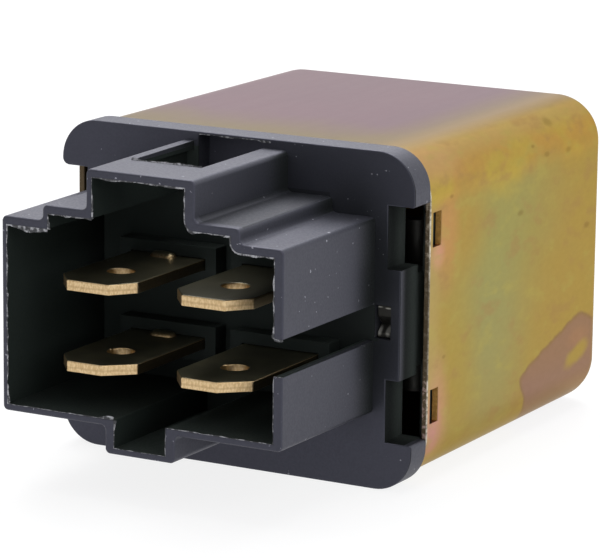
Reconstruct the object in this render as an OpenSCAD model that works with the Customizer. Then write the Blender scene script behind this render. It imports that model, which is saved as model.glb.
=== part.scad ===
// Plug-in starter relay: a drawn steel can over a moulded base with a four-blade connector.
// X runs across the connector, Y from the connector's mouth to the can's closed end, Z up.
// The relay lies on one flat side, with the origin under the middle of its box.

/* [Can] */
// Outside width of the can
can_w = 29.95; // [27:0.05:36]
// Outside height of the can
can_h = 24.6; // [23.5:0.1:32]
// Length of the can from its rim to its closed end
can_len = 30.9; // [29.5:0.1:40]
// Thickness of the can's steel sheet
can_wall = 0.5; // [0.4:0.05:0.8]
// Radius of the can's four long corners
can_corner_r = 3.6; // [2.8:0.1:4.5]
// Radius round the closed end
can_end_r = 2.5; // [1.2:0.1:2.7]
// Height of each locking window in the can's sides
window_h = 2.55; // [1.6:0.05:3.2]
// Length of each locking window along the can
window_len = 1.3; // [0.8:0.05:1.4]
// Width of the strip of sheet left between a window and the rim
window_strip = 0.35; // [0.3:0.05:0.6]
// Distance between the middles of the two windows in one side
window_pitch = 13.15; // [12.4:0.05:13.6]

/* [Flange] */
// Thickness of the base's flange
flange_t = 2.4; // [1.8:0.1:3.2]
// How far each end of the flange stays inside the can's side
flange_inset = 0.075; // [0:0.025:0.3]
// How far the flange stands out over the can's flat top and bottom
flange_over = 0.2; // [0.1:0.05:0.5]
// Radius of the flange's corners
flange_corner_r = 3; // [2:0.05:3.2]
// Length of the part of the base that plugs into the can
spigot_len = 2.6; // [2.4:0.1:3.4]
// Gap between the base's plug and the can
spigot_gap = 0.1; // [0.05:0.05:0.2]
// Height of the notch in each side of the flange
notch_h = 17.5; // [16.8:0.1:18.2]
// How far the right notch lies under the can's axis, and the left one over it
notch_drop = 0.15; // [0:0.05:0.2]
// Depth of that notch from the can's side
notch_depth = 1.15; // [0.9:0.05:1.2]
// Height of the land between the two locking pockets of a notch
land_h = 8.2; // [6:0.1:8.8]
// Depth of a locking pocket from the can's side
pocket_depth = 2.25; // [1.8:0.05:2.6]
// Rounding of the flange's lips beside the left notch
lip_left_r = 0.55; // [0.2:0.05:0.8]
// Rounding of the lips beside the right notch
lip_right_r = 0.25; // [0.2:0.05:0.8]
// Depth of the recess behind a pocket from the can's side
recess_depth = 4; // [2.6:0.1:4.1]
// How far behind the can's rim that recess starts
recess_start = 0.4; // [0.3:0.05:0.5]
// How far that recess reaches past its pocket, up and down
recess_over = 0.6; // [0.3:0.05:0.8]
// Thickness of the bar across a recess
lock_bar_t = 0.65; // [0.6:0.05:0.9]
// How far the nose on that bar reaches into the can's sheet
nose_reach = 0.2; // [0.1:0.05:0.35]
// Length of that nose's slope along the can
nose_len = 0.45; // [0.3:0.05:0.6]
// Length of the hook that carries the nose in front of the bar
hook_len = 0.8; // [0.7:0.05:1]
// Thickness of that hook at its tip, inside the can
hook_tip_t = 0.15; // [0.1:0.05:0.3]
// Gap between a nose and the edges of its window
lock_gap = 0.05; // [0.03:0.01:0.1]

/* [Connector shroud] */
// Depth of the shroud from its mouth to the flange
shroud_depth = 13.2; // [12:0.1:18]
// Outside width of the shroud
shroud_w = 23.42; // [22.4:0.02:23.5]
// Outside height of the shroud at its sides
shroud_h = 14.54; // [13.8:0.02:15]
// Depth of the shroud's underside below the can's axis
shroud_below = 6.88; // [6.3:0.02:7.5]
// Wall thickness on the left
shroud_wall_left = 0.5; // [0.4:0.02:1]
// Wall thickness on the right
shroud_wall_right = 0.82; // [0.4:0.02:1]
// Wall thickness on top
shroud_wall_top = 0.7; // [0.4:0.02:1]
// Wall thickness underneath
shroud_wall_bottom = 0.55; // [0.4:0.02:1]
// Rounding of the shroud's long outside edges
shroud_edge_r = 0.4; // [0.2:0.05:0.5]
// Rounding of the long edges inside its stepped roof, on the right
roof_in_r = 0.7; // [0.3:0.05:0.8]
// Width of the raised part of the shroud's roof
step_w = 16.4; // [14:0.05:18]
// Height of the raised part over the shroud's sides
step_rise = 1.14; // [1:0.02:1.4]
// Width of the latch housing on the roof
latch_w = 9; // [7.6:0.1:10]
// Height of the latch housing over the raised part
latch_rise = 3.01; // [2.4:0.01:3.2]
// Width of the window that the plug's latch snaps into
latch_window_w = 5.85; // [4.6:0.05:6]
// How far that window lies left of the middle
latch_window_left = 0.5; // [0:0.05:0.6]
// Distance from the mouth to that window
latch_window_start = 4.4; // [3:0.1:7]
// Width of the keyway under the shroud
key_w = 5.83; // [4.8:0.01:7]
// Depth of the keyway under the shroud
key_drop = 2.07; // [1.2:0.05:2.6]
// Side wall thickness of the keyway
key_wall = 0.75; // [0.4:0.05:0.9]
// Height of the slot in the right wall
slot_h = 2.7; // [2.2:0.1:3.4]
// Height of that slot over the shroud's underside
slot_up = 5.43; // [4.8:0.01:5.7]
// Width of the pocket in the flange behind the latch window
latch_pocket_w = 6.1; // [4.6:0.05:6.4]
// Depth of that pocket
latch_pocket_t = 1.6; // [0.6:0.1:1.8]
// Lip left over that pocket at the flange's upper edge
latch_pocket_lip = 0.15; // [0.1:0.05:0.6]

/* [Blade terminals] */
// Width of a blade
blade_w = 6.3; // [6:0.1:6.4]
// Thickness of a blade
blade_t = 0.8; // [0.7:0.05:0.9]
// Distance between the blades of one row
blade_pitch_x = 9.54; // [9.3:0.02:9.9]
// Distance between the two rows
blade_pitch_z = 5.95; // [5.6:0.05:6.4]
// Height of the middle of the blades over the shroud's underside
blade_mid_up = 6.83; // [6.4:0.01:7]
// How far the blade tips lie inside the mouth
blade_recess = 0.7; // [0.3:0.1:2]
// Width of the slanted cut at each corner of a tip
tip_cut_x = 1.4; // [0.6:0.05:2]
// Width of the cut at the right corner of a lower blade's tip
tip_cut_wide_x = 2; // [0.6:0.05:2.4]
// Length of these cuts along the blade
tip_cut_y = 1.75; // [0.6:0.05:2.4]
// Diameter of the hole in a blade
blade_hole_d = 2; // [1.5:0.05:2.4]
// Distance from the tip to the middle of the hole
blade_hole_from_tip = 4.55; // [3.6:0.05:5]
// Width of the raised seat round a blade's root
seat_w = 8.3; // [7.2:0.1:9]
// Height of that seat across the blade
seat_h = 2.7; // [2:0.1:3.2]
// How far a seat stands over the connector's floor
seat_rise = 1.5; // [0.8:0.1:2]
// Length of the stop bump on the left blades, in front of their seats
bump_len = 2.2; // [1.6:0.1:3]
// Height of that bump
bump_h = 0.4; // [0.2:0.05:0.5]
// Radius of that bump's back
bump_r = 0.6; // [0.5:0.05:0.7]
// Distance from the seat to the middle of the bump
bump_from_seat = 0.6; // [0.6:0.05:1]
// Gap between a blade and its slot in the base
blade_gap = 0.05; // [0.03:0.01:0.1]
// Inside radius of a fold in a terminal
fold_r = 0.3; // [0.2:0.05:0.4]
// Width of the coil terminals' solder tails
tail_w = 2; // [1.4:0.1:2.4]
// How far the solder tails stand over the base's deck
tail_len = 5.8; // [4.8:0.1:8]
// Length of the neck between the lower right blade and its fold
neck_len = 0.6; // [0.4:0.1:1]
// Gap between the lower solder tail and the bobbin
tail_bobbin_gap = 0.9; // [0.4:0.1:1]

/* [Yoke and core] */
// Thickness of the yoke's steel
yoke_t = 1.2; // [1:0.05:1.3]
// Width of the yoke
yoke_w = 13; // [11:0.1:14]
// Gap between the yoke's leg and the inside of the can
yoke_can_gap = 1.45; // [1.2:0.05:1.6]
// Inside radius of the yoke's bend
yoke_bend_r = 0.6; // [0.4:0.05:0.8]
// Gap between the base's deck and the yoke's foot
foot_lift = 0.8; // [0.7:0.05:1]
// Width of the pads on the base's deck under the foot
pad_w = 2.2; // [1.6:0.1:2.4]
// How far those pads lie inside the foot's edges
pad_inset = 0.5; // [0.2:0.1:1]
// How far the foot reaches past the core's middle
foot_past_core = 6.6; // [4.5:0.1:6.8]
// Width of the yoke's tab that is staked in the base
tab_w = 2.4; // [1.8:0.05:2.8]
// Gap between the tab and its hole
tab_gap = 0.06; // [0.04:0.01:0.1]
// How far the tab's end lies inside the flange's face
tab_recess = 0.35; // [0.2:0.05:1.2]
// Depth of the chisel mark that spreads the tab's end
tab_mark = 0.6; // [0.2:0.05:0.6]
// How far that mark lies under the tab's middle
tab_mark_drop = 0.25; // [0:0.05:0.4]
// Relief cut beside the tab in the foot
tab_relief = 0.25; // [0.15:0.05:0.4]
// Length of the slot that the tab leaves in the foot
tab_slot_len = 5.2; // [4.8:0.1:5.6]
// Diameter of the iron core
core_d = 7; // [6:0.1:7.6]
// Diameter of the core's tenon in the foot
tenon_d = 5; // [3.6:0.1:5.2]
// Diameter of the core's pole plate
pole_d = 9.6; // [8.4:0.1:11]
// Thickness of the pole plate
pole_t = 0.8; // [0.6:0.05:1.2]
// Gap between round pieces that sit in each other
round_gap = 0.02; // [0.02:0.01:0.05]

/* [Coil] */
// Diameter of the bobbin's flanges
bobbin_d = 16.8; // [15.8:0.1:17]
// Thickness of the bobbin's flanges
bobbin_flange_t = 0.8; // [0.6:0.05:1.2]
// Wall of the bobbin's tube
bobbin_tube_t = 0.85; // [0.6:0.05:1.1]
// Length of the bobbin over its flanges
bobbin_len = 17.8; // [16.8:0.1:18]
// Gap between the bobbin and the yoke's leg
bobbin_leg_gap = 0.3; // [0.2:0.05:0.5]
// Outside diameter of the copper winding
winding_d = 14.8; // [13:0.1:15]
// Thickness of the tape over the winding
tape_t = 0.18; // [0.1:0.02:0.3]
// Bare winding left at the lower flange for the leads
tape_start = 1.4; // [1.2:0.1:2]
// Diameter of the coil's lead wires
lead_d = 0.4; // [0.25:0.05:0.5]
// Diameter of the solder joint on a tail
solder_d = 1.4; // [1:0.1:1.6]
// Height of the solder joint over the base's deck
solder_up = 4.2; // [4:0.1:4.4]

/* [Armature and contacts] */
// Thickness of the armature
armature_t = 1.2; // [0.9:0.05:1.4]
// Width of the armature
armature_w = 12.6; // [10:0.1:13]
// Open gap between the armature and the pole
air_gap = 0.65; // [0.6:0.01:0.8]
// Play between the armature and the yoke's edge
hinge_gap = 0.03; // [0.02:0.01:0.06]
// How far the armature reaches over the yoke's edge
hinge_lap = 0.5; // [0.3:0.05:0.55]
// How far the armature reaches past the core's middle
armature_past_core = 7.8; // [6:0.1:8.4]
// Thickness of the contact spring
spring_t = 0.3; // [0.2:0.02:0.4]
// Width of the contact spring over the armature
spring_w = 9; // [7:0.1:10]
// Width of the contact spring at the contact
spring_tip_w = 3.6; // [3.4:0.1:3.8]
// Length of the contact spring's leg on the yoke
spring_leg = 11; // [9:0.1:14]
// Inside radius of the contact spring's bend
spring_bend_r = 0.6; // [0.5:0.02:0.65]
// Open gap between the two contacts
contact_gap = 0.85; // [0.82:0.01:1.2]
// Diameter of a contact's face
contact_d = 3.2; // [2.4:0.1:3.4]
// Thickness of a contact's head
contact_t = 0.8; // [0.5:0.05:1]
// Diameter of a contact's shank
contact_shank_d = 1.6; // [1.2:0.1:1.8]
// Thickness of a contact's peened end
contact_peen_t = 0.3; // [0.2:0.05:0.4]
// Distance from the inside of the can to the middle of the contacts
contact_from_can = 4.7; // [4.5:0.1:5.2]
// Width of the strip that carries the fixed contact
riser_w = 4.4; // [4:0.1:4.6]
// Width of the back stop's strip
stop_w = 4; // [3:0.1:5]
// Gap between the back stop's strip and the inside of the can
stop_can_gap = 1.2; // [1:0.05:1.3]
// Play between the moving contact and the back stop
stop_gap = 0.05; // [0.02:0.01:0.1]
// How deep the back stop is pressed into the base
stop_root = 2; // [1.5:0.1:2.2]
// Diameter of the rivets' shanks
rivet_d = 1.8; // [1.4:0.1:2]
// Diameter of the rivets' heads
rivet_head_d = 3.2; // [2.6:0.1:3.4]
// Thickness of the rivets' heads
rivet_head_t = 0.5; // [0.3:0.05:0.55]
// Distance between the two rivets of a pair
rivet_pitch = 5.4; // [4.6:0.1:5.6]
// Distance from the yoke's edge to its rivets
rivet_down = 7.6; // [6:0.1:8]

/* [Hidden] */
$fn = 48;

// A little extra that lets a cut run past the face it opens
past = 0.5;

// Stations along Y, from the mouth to the closed end
total_len = shroud_depth + flange_t + can_len;
mouth_y = -total_len / 2;
flange_y = mouth_y + shroud_depth;
rim_y = flange_y + flange_t;
end_y = rim_y + can_len;
deck_y = rim_y + spigot_len;
tip_y = mouth_y + blade_recess;
seat_y = flange_y - seat_rise;

// Heights
flange_w = can_w - 2 * flange_inset;
flange_h = can_h + 2 * flange_over;
axis_z = flange_h / 2;
shroud_rise = axis_z - shroud_below;
roof_z = shroud_rise + shroud_h;
step_z = roof_z + step_rise;
latch_z = step_z + latch_rise;
key_z = shroud_rise - key_drop;
blade_mid_z = shroud_rise + blade_mid_up;
upper_z = blade_mid_z + blade_pitch_z / 2;
lower_z = blade_mid_z - blade_pitch_z / 2;

// Places across the connector
left_x = -blade_pitch_x / 2;
right_x = blade_pitch_x / 2;
can_in_x = can_w / 2 - can_wall;

// The yoke stands beside the can's right wall, and the coil beside the yoke
leg_out_x = can_in_x - yoke_can_gap;
leg_in_x = leg_out_x - yoke_t;
coil_x = leg_in_x - bobbin_leg_gap - bobbin_d / 2;
foot_y = deck_y + foot_lift;
foot_top_y = foot_y + yoke_t;
bobbin_end_y = foot_top_y + bobbin_len;
pole_y = bobbin_end_y + pole_t;
armature_y = pole_y + air_gap;
hinge_y = armature_y - hinge_gap;
armature_top_y = armature_y + armature_t;
spring_top_y = armature_top_y + spring_t;

// The contacts lie on the other side, one over the other
contact_x = -can_in_x + contact_from_can;
fixed_face_y = armature_top_y - contact_t - contact_gap;
pad_top_y = fixed_face_y - contact_t;
pad_y = pad_top_y - blade_t;
stop_y = spring_top_y + contact_peen_t + stop_gap;
tail_b_z = axis_z - bobbin_d / 2 - tail_bobbin_gap - blade_t;
bar_end_x = coil_x - bobbin_d / 2 - bobbin_leg_gap;
stop_x = -can_in_x + stop_can_gap;

// Holes that the rivets and the contacts' shanks sit in
rivet_hole_d = rivet_d + 2 * round_gap;
contact_hole_d = contact_shank_d + 2 * round_gap;

// Sweeps a shape drawn in X and Z along Y
module along_y(from_y, to_y) {
    translate([0, to_y, 0])
        rotate([90, 0, 0])
            linear_extrude(to_y - from_y)
                children();
}

// A cylinder along Y
module rod_y(x, from_y, to_y, z, d) {
    translate([x, from_y, z])
        rotate([-90, 0, 0])
            cylinder(h = to_y - from_y, d = d);
}

// A cylinder along X
module rod_x(from_x, to_x, y, z, d) {
    translate([from_x, y, z])
        rotate([0, 90, 0])
            cylinder(h = to_x - from_x, d = d);
}

// A straight wire between two points
module wire(from, to, d) {
    run = to - from;
    translate(from)
        rotate([0, acos(run.z / norm(run)), atan2(run.y, run.x)])
            cylinder(h = norm(run), d = d);
}

// A block given by its lowest and highest corners
module block(low, high) {
    translate(low)
        cube(high - low);
}

// A quarter bend of sheet about an X axis; the angle runs from +Y towards +Z
module fold_x(from_x, to_x, y, z, angle, r, t) {
    translate([from_x, y, z])
        rotate([90, 0, 90])
            rotate([0, 0, angle])
                rotate_extrude(angle = 90)
                    translate([r, 0])
                        square([t, to_x - from_x]);
}

// A quarter bend of sheet about a Z axis; the angle runs from +X towards +Y
module fold_z(x, y, from_z, to_z, angle, r, t) {
    translate([x, y, from_z])
        rotate([0, 0, angle])
            rotate_extrude(angle = 90)
                translate([r, 0])
                    square([t, to_z - from_z]);
}

// A rectangle with round corners, round the can's axis
module round_rectangle(w, h, r) {
    translate([0, axis_z]) {
        square([w - 2 * r, h], center = true);
        square([w, h - 2 * r], center = true);
        for (x = [-1, 1], z = [-1, 1])
            translate([x * (w / 2 - r), z * (h / 2 - r)])
                circle(r);
    }
}

// A drawn cup: round corners along Y and a rounded edge round its closed end
module cup(w, h, from_y, to_y, corner_r, end_r) {
    side_x = w / 2 - corner_r;
    side_z = h / 2 - corner_r;
    straight_y = to_y - end_r;
    along_y(from_y, straight_y)
        round_rectangle(w, h, corner_r);
    along_y(straight_y, to_y)
        round_rectangle(w - 2 * end_r, h - 2 * end_r, corner_r - end_r);
    translate([0, straight_y, axis_z]) {
        for (x = [-1, 1])
            translate([x * (w / 2 - end_r), 0, -side_z])
                rotate([0, 0, x > 0 ? 0 : 90])
                    rotate_extrude_quarter_bar(end_r, 2 * side_z);
        for (z = [-1, 1])
            translate([-side_x, 0, z * (h / 2 - end_r)])
                rotate([90, 0, 90])
                    rotate([0, 0, z > 0 ? 0 : -90])
                        rotate_extrude_quarter_bar(end_r, 2 * side_x);
        for (x = [-1, 1], z = [-1, 1])
            translate([x * side_x, 0, z * side_z])
                rotate([-90, 0, 0])
                    rotate([0, 0, x > 0 ? (z > 0 ? -90 : 0) : (z > 0 ? 180 : 90)])
                        rotate_extrude(angle = 90)
                            translate([corner_r - end_r, 0])
                                intersection() {
                                    circle(end_r);
                                    square(end_r);
                                }
    }
}

// A bar whose section is a quarter of a circle
module rotate_extrude_quarter_bar(r, length) {
    linear_extrude(length)
        intersection() {
            circle(r);
            square(r);
        }
}

// Heights of the middles of the two locking windows in a side
window_zs = [axis_z - window_pitch / 2, axis_z + window_pitch / 2];

module can() {
    window_y = rim_y + window_strip;
    color([0.70, 0.60, 0.33])
        difference() {
            cup(can_w, can_h, rim_y, end_y, can_corner_r, can_end_r);
            cup(can_w - 2 * can_wall, can_h - 2 * can_wall, rim_y - past, end_y - can_wall,
                can_corner_r - can_wall, can_end_r - can_wall);
            for (z = window_zs)
                block([-can_w / 2 - past, window_y, z - window_h / 2],
                      [can_w / 2 + past, window_y + window_len, z + window_h / 2]);
        }
}

// An upright rectangle in X and Z round the middle, with something taken off at each side
module upright(w, low_z, high_z, off_left = 0, off_right = 0) {
    translate([-w / 2 + off_left, low_z])
        square([w - off_left - off_right, high_z - low_z]);
}

// The slivers between the square corners of an outline and their arcs, on one side or both
// Each corner is [x, z, way up or down into the arc]; sideways is the way to the arc on the right side.
module corner_slivers(corners, sideways, r, mirrored = [0, 1]) {
    for (side = mirrored, corner = corners)
        mirror([side, 0, 0])
            translate([corner.x, corner.y])
                difference() {
                    translate([min(sideways, 0) * r, min(corner.z, 0) * r])
                        square(r);
                    translate([sideways * r, corner.z * r])
                        circle(r);
                }
}

// The shroud's corners on the right side
outer_corners = [
    [shroud_w / 2, shroud_rise, 1], [key_w / 2, key_z, 1],
    [shroud_w / 2, roof_z, -1], [step_w / 2, step_z, -1], [latch_w / 2, latch_z, -1]
];
hollow_corners = [[key_w / 2, shroud_rise, -1], [step_w / 2, roof_z, 1], [latch_w / 2, step_z, 1]];

// The shroud's outside in X and Z: the plug's space, the raised roof, the latch housing and the keyway
module shroud_outline() {
    difference() {
        union() {
            upright(shroud_w, shroud_rise, roof_z);
            upright(step_w, shroud_rise, step_z);
            upright(latch_w, shroud_rise, latch_z);
            upright(key_w, key_z, roof_z);
            corner_slivers(hollow_corners, 1, shroud_edge_r);
        }
        corner_slivers(outer_corners, -1, shroud_edge_r);
    }
}

// The cavity in the shroud that the plug enters, in X and Z
module cavity_outline() {
    left = shroud_wall_left;
    right = shroud_wall_right;
    low_z = shroud_rise + shroud_wall_bottom;
    upright(shroud_w, low_z, roof_z - shroud_wall_top, left, right);
    upright(step_w, low_z, step_z - shroud_wall_top, left, right);
    upright(latch_w, low_z, latch_z - shroud_wall_top, left, right);
    upright(key_w, key_z + shroud_wall_bottom, roof_z - shroud_wall_top, key_wall, key_wall);
    corner_slivers([
        [latch_w / 2 - right, step_z - shroud_wall_top, 1], [step_w / 2 - right, roof_z - shroud_wall_top, 1]
    ], 1, roof_in_r, [0]);
}

// The four blades as [middle x, middle z]
blade_places = [[left_x, upper_z], [right_x, upper_z], [left_x, lower_z], [right_x, lower_z]];

// The pads on the deck that carry the yoke's foot
module foot_pads() {
    low_z = axis_z - yoke_w / 2 + pad_inset;
    high_z = axis_z + yoke_w / 2 - pad_inset;
    pad_end_x = leg_in_x - yoke_bend_r - pad_inset;
    block([-pad_w / 2, deck_y, low_z], [pad_w / 2, foot_y, high_z]);
    for (z = [low_z, high_z - pad_w])
        block([pad_end_x - pad_w, deck_y, z], [pad_end_x, foot_y, z + pad_w]);
}

// What is cut out of the base's sides: a notch in the flange with two pockets beside a land,
// and behind each pocket a recess that is open to the inside of the can
lip_out_x = can_w / 2 + past;
notch_x = can_w / 2 - notch_depth;
pocket_h = (notch_h - land_h) / 2;
recess_y = rim_y + recess_start;
function notch_z(side) = axis_z - side * notch_drop;
function pocket_zs(side) = [notch_z(side) - notch_h / 2, notch_z(side) + land_h / 2];
module side_cuts(side) {
    low_z = notch_z(side) - notch_h / 2;
    high_z = notch_z(side) + notch_h / 2;
    mirror([side > 0 ? 0 : 1, 0, 0]) {
        block([notch_x, flange_y - past, low_z], [lip_out_x, deck_y + past, high_z]);
        for (z = pocket_zs(side)) {
            block([can_w / 2 - pocket_depth, flange_y - past, z], [lip_out_x, recess_y, z + pocket_h]);
            block([can_w / 2 - recess_depth, recess_y, z - recess_over],
                  [lip_out_x, deck_y + past, z + pocket_h + recess_over]);
        }
        along_y(flange_y - past, rim_y)
            corner_slivers([[flange_w / 2, high_z, 1], [flange_w / 2, low_z, -1]], -1,
                           side > 0 ? lip_right_r : lip_left_r, [0]);
    }
}

// The bars across the recesses, which reach a little into the solid base above and below
bar_root = 0.4;
bar_out_x = can_in_x - spigot_gap;
bar_in_x = bar_out_x - lock_bar_t;
hook_y = rim_y + window_strip + lock_gap;
bar_y = hook_y + hook_len;
module lock_bars(side) {
    over = recess_over + bar_root;
    mirror([side > 0 ? 0 : 1, 0, 0])
        for (z = pocket_zs(side))
            block([bar_in_x, bar_y, z - over], [bar_out_x, deck_y, z + pocket_h + over]);
}

// The hooks on the bars, whose noses snap into the can's windows behind the strips
module lock_hooks(side) {
    height = window_h - 2 * lock_gap;
    mirror([side > 0 ? 0 : 1, 0, 0])
        for (z = window_zs)
            translate([0, 0, z - height / 2])
                linear_extrude(height)
                    polygon([
                        [bar_in_x, bar_y], [bar_out_x - hook_tip_t, hook_y], [can_in_x + nose_reach, hook_y],
                        [bar_out_x, hook_y + nose_len], [bar_out_x, bar_y]
                    ]);
}

// The slots that the terminals, the yoke's tab and the back stop are pressed into
module terminal_slots() {
    for (place = blade_places)
        block([place.x - blade_w / 2 - blade_gap, seat_y - past, place.y - blade_t / 2 - blade_gap],
              [place.x + blade_w / 2 + blade_gap, deck_y + past, place.y + blade_t / 2 + blade_gap]);
    relief = fold_r + blade_gap;
    block([right_x - blade_w / 2 - blade_gap, deck_y - relief, upper_z],
          [right_x + blade_w / 2 + blade_gap, deck_y + past, upper_z + blade_t / 2 + relief]);
    groove_y = deck_y - blade_t - round_gap;
    block([right_x - tail_w / 2 - blade_gap, groove_y, tail_b_z - blade_gap],
          [right_x + tail_w / 2 + blade_gap, deck_y + past, lower_z]);
    block([right_x - tail_w / 2 - blade_gap, groove_y - relief, lower_z - blade_t / 2 - relief],
          [right_x + tail_w / 2 + blade_gap, deck_y + past, lower_z]);
    block([leg_in_x - tab_gap, flange_y, axis_z - tab_w / 2 - tab_gap],
          [leg_out_x + tab_gap, deck_y + past, axis_z + tab_w / 2 + tab_gap]);
    block([stop_x - blade_gap, deck_y - stop_root - blade_gap, axis_z - stop_w / 2 - blade_gap],
          [stop_x + blade_t + blade_gap, deck_y + past, axis_z + stop_w / 2 + blade_gap]);
}

// The openings that the plug uses: its latch window, the pocket behind it and the slot in the right wall
module plug_openings() {
    window_x = -latch_window_left - latch_window_w / 2;
    block([window_x, mouth_y + latch_window_start, latch_z - shroud_wall_top - past],
          [window_x + latch_window_w, flange_y, latch_z + past]);
    block([-latch_pocket_w / 2, flange_y, step_z],
          [latch_pocket_w / 2, flange_y + latch_pocket_t, flange_h - latch_pocket_lip]);
    block([shroud_w / 2 - shroud_wall_right - past, mouth_y - past, shroud_rise + slot_up],
          [shroud_w / 2 + past, flange_y, shroud_rise + slot_up + slot_h]);
}

// The part of the base that plugs into the can, still whole
module plug_in_can() {
    inset = can_wall + spigot_gap;
    along_y(rim_y, deck_y)
        round_rectangle(can_w - 2 * inset, can_h - 2 * inset, can_corner_r - inset);
}

module base() {
    color([0.13, 0.13, 0.15]) {
        difference() {
            union() {
                along_y(flange_y, rim_y)
                    round_rectangle(flange_w, flange_h, flange_corner_r);
                plug_in_can();
                difference() {
                    along_y(mouth_y, flange_y)
                        shroud_outline();
                    along_y(mouth_y - past, flange_y + past)
                        cavity_outline();
                }
                for (place = blade_places)
                    block([place.x - seat_w / 2, seat_y, place.y - seat_h / 2],
                          [place.x + seat_w / 2, flange_y, place.y + seat_h / 2]);
                foot_pads();
            }
            for (side = [-1, 1])
                side_cuts(side);
            terminal_slots();
            plug_openings();
        }
        intersection() {
            plug_in_can();
            union() {
                for (side = [-1, 1])
                    lock_bars(side);
            }
        }
        for (side = [-1, 1])
            lock_hooks(side);
    }
}

// A blade in X and Y, from its chamfered tip to a given station, with its hole
module blade_shape(x, to_y, right_cut) {
    difference() {
        polygon([
            [x - blade_w / 2, to_y],
            [x - blade_w / 2, tip_y + tip_cut_y],
            [x - blade_w / 2 + tip_cut_x, tip_y],
            [x + blade_w / 2 - right_cut, tip_y],
            [x + blade_w / 2, tip_y + tip_cut_y],
            [x + blade_w / 2, to_y]
        ]);
        translate([x, tip_y + blade_hole_from_tip])
            circle(d = blade_hole_d);
    }
}

// A flat stamping as thick as a blade, round the given height
module stamping(z) {
    translate([0, 0, z - blade_t / 2])
        linear_extrude(blade_t)
            children();
}

// The bump that a left blade was pressed in up to, on its upper face
module stop_bump(z) {
    half = bump_len / 2 - bump_r;
    y = seat_y - bump_from_seat;
    height = z + blade_t / 2 + bump_h - bump_r;
    intersection() {
        union() {
            rod_x(left_x - half, left_x + half, y, height, 2 * bump_r);
            for (side = [-1, 1])
                translate([left_x + side * half, y, height])
                    sphere(bump_r);
        }
        block([left_x - bump_len, seat_y - 2 * bump_from_seat, z],
              [left_x + bump_len, seat_y, z + blade_t + bump_h]);
    }
}

brass = [0.78, 0.65, 0.32];

module coil_terminal_a() {
    color(brass) {
        stamping(lower_z) {
            blade_shape(left_x, deck_y, tip_cut_wide_x);
            translate([bar_end_x - tail_w, deck_y])
                square([tail_w, tail_len]);
        }
        stop_bump(lower_z);
    }
}

module coil_terminal_b() {
    from_x = right_x - tail_w / 2;
    to_x = right_x + tail_w / 2;
    flat_y = deck_y - blade_t;
    color(brass) {
        stamping(lower_z) {
            blade_shape(right_x, flat_y - fold_r - neck_len, tip_cut_wide_x);
            translate([from_x, flat_y - fold_r - neck_len])
                square([tail_w, neck_len]);
        }
        fold_x(from_x, to_x, flat_y - fold_r, lower_z - blade_t / 2 - fold_r, 0, fold_r, blade_t);
        block([from_x, flat_y, tail_b_z + blade_t + fold_r], [to_x, deck_y, lower_z - blade_t / 2 - fold_r]);
        fold_x(from_x, to_x, deck_y + fold_r, tail_b_z + blade_t + fold_r, 180, fold_r, blade_t);
        block([from_x, deck_y + fold_r, tail_b_z], [to_x, deck_y + tail_len, tail_b_z + blade_t]);
    }
}

module load_terminal() {
    from_x = contact_x - riser_w / 2;
    to_x = contact_x + riser_w / 2;
    fold_y = pad_y - fold_r;
    fold_z = upper_z - blade_t / 2 - fold_r;
    bar_top_y = deck_y + riser_w / 2;
    color(brass)
        difference() {
            union() {
                stamping(upper_z) {
                    blade_shape(left_x, deck_y, tip_cut_x);
                    translate([from_x, deck_y])
                        square([bar_end_x - from_x, bar_top_y - deck_y]);
                    translate([from_x, deck_y])
                        square([riser_w, fold_y - deck_y]);
                }
                stop_bump(upper_z);
                fold_x(from_x, to_x, fold_y, fold_z, 0, fold_r, blade_t);
                block([from_x, pad_y, axis_z - contact_d / 2 - contact_peen_t], [to_x, pad_top_y, fold_z]);
            }
            rod_y(contact_x, pad_y - past, pad_top_y + past, axis_z, contact_hole_d);
        }
}

module supply_terminal() {
    from_x = right_x - blade_w / 2;
    to_x = right_x + blade_w / 2;
    fold_y = deck_y - fold_r;
    flat_z = upper_z + blade_t / 2 + fold_r;
    weld_edge = 0.2;
    color(brass) {
        stamping(upper_z)
            blade_shape(right_x, fold_y, tip_cut_x);
        fold_x(from_x, to_x, fold_y, flat_z, -90, fold_r, blade_t);
        block([from_x, deck_y, flat_z], [to_x, deck_y + blade_t, axis_z + yoke_w / 2 - weld_edge]);
    }
}

// Heights of the rivets of a pair
rivet_zs = [axis_z - rivet_pitch / 2, axis_z + rivet_pitch / 2];
yoke_rivet_y = hinge_y - rivet_down;

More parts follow.
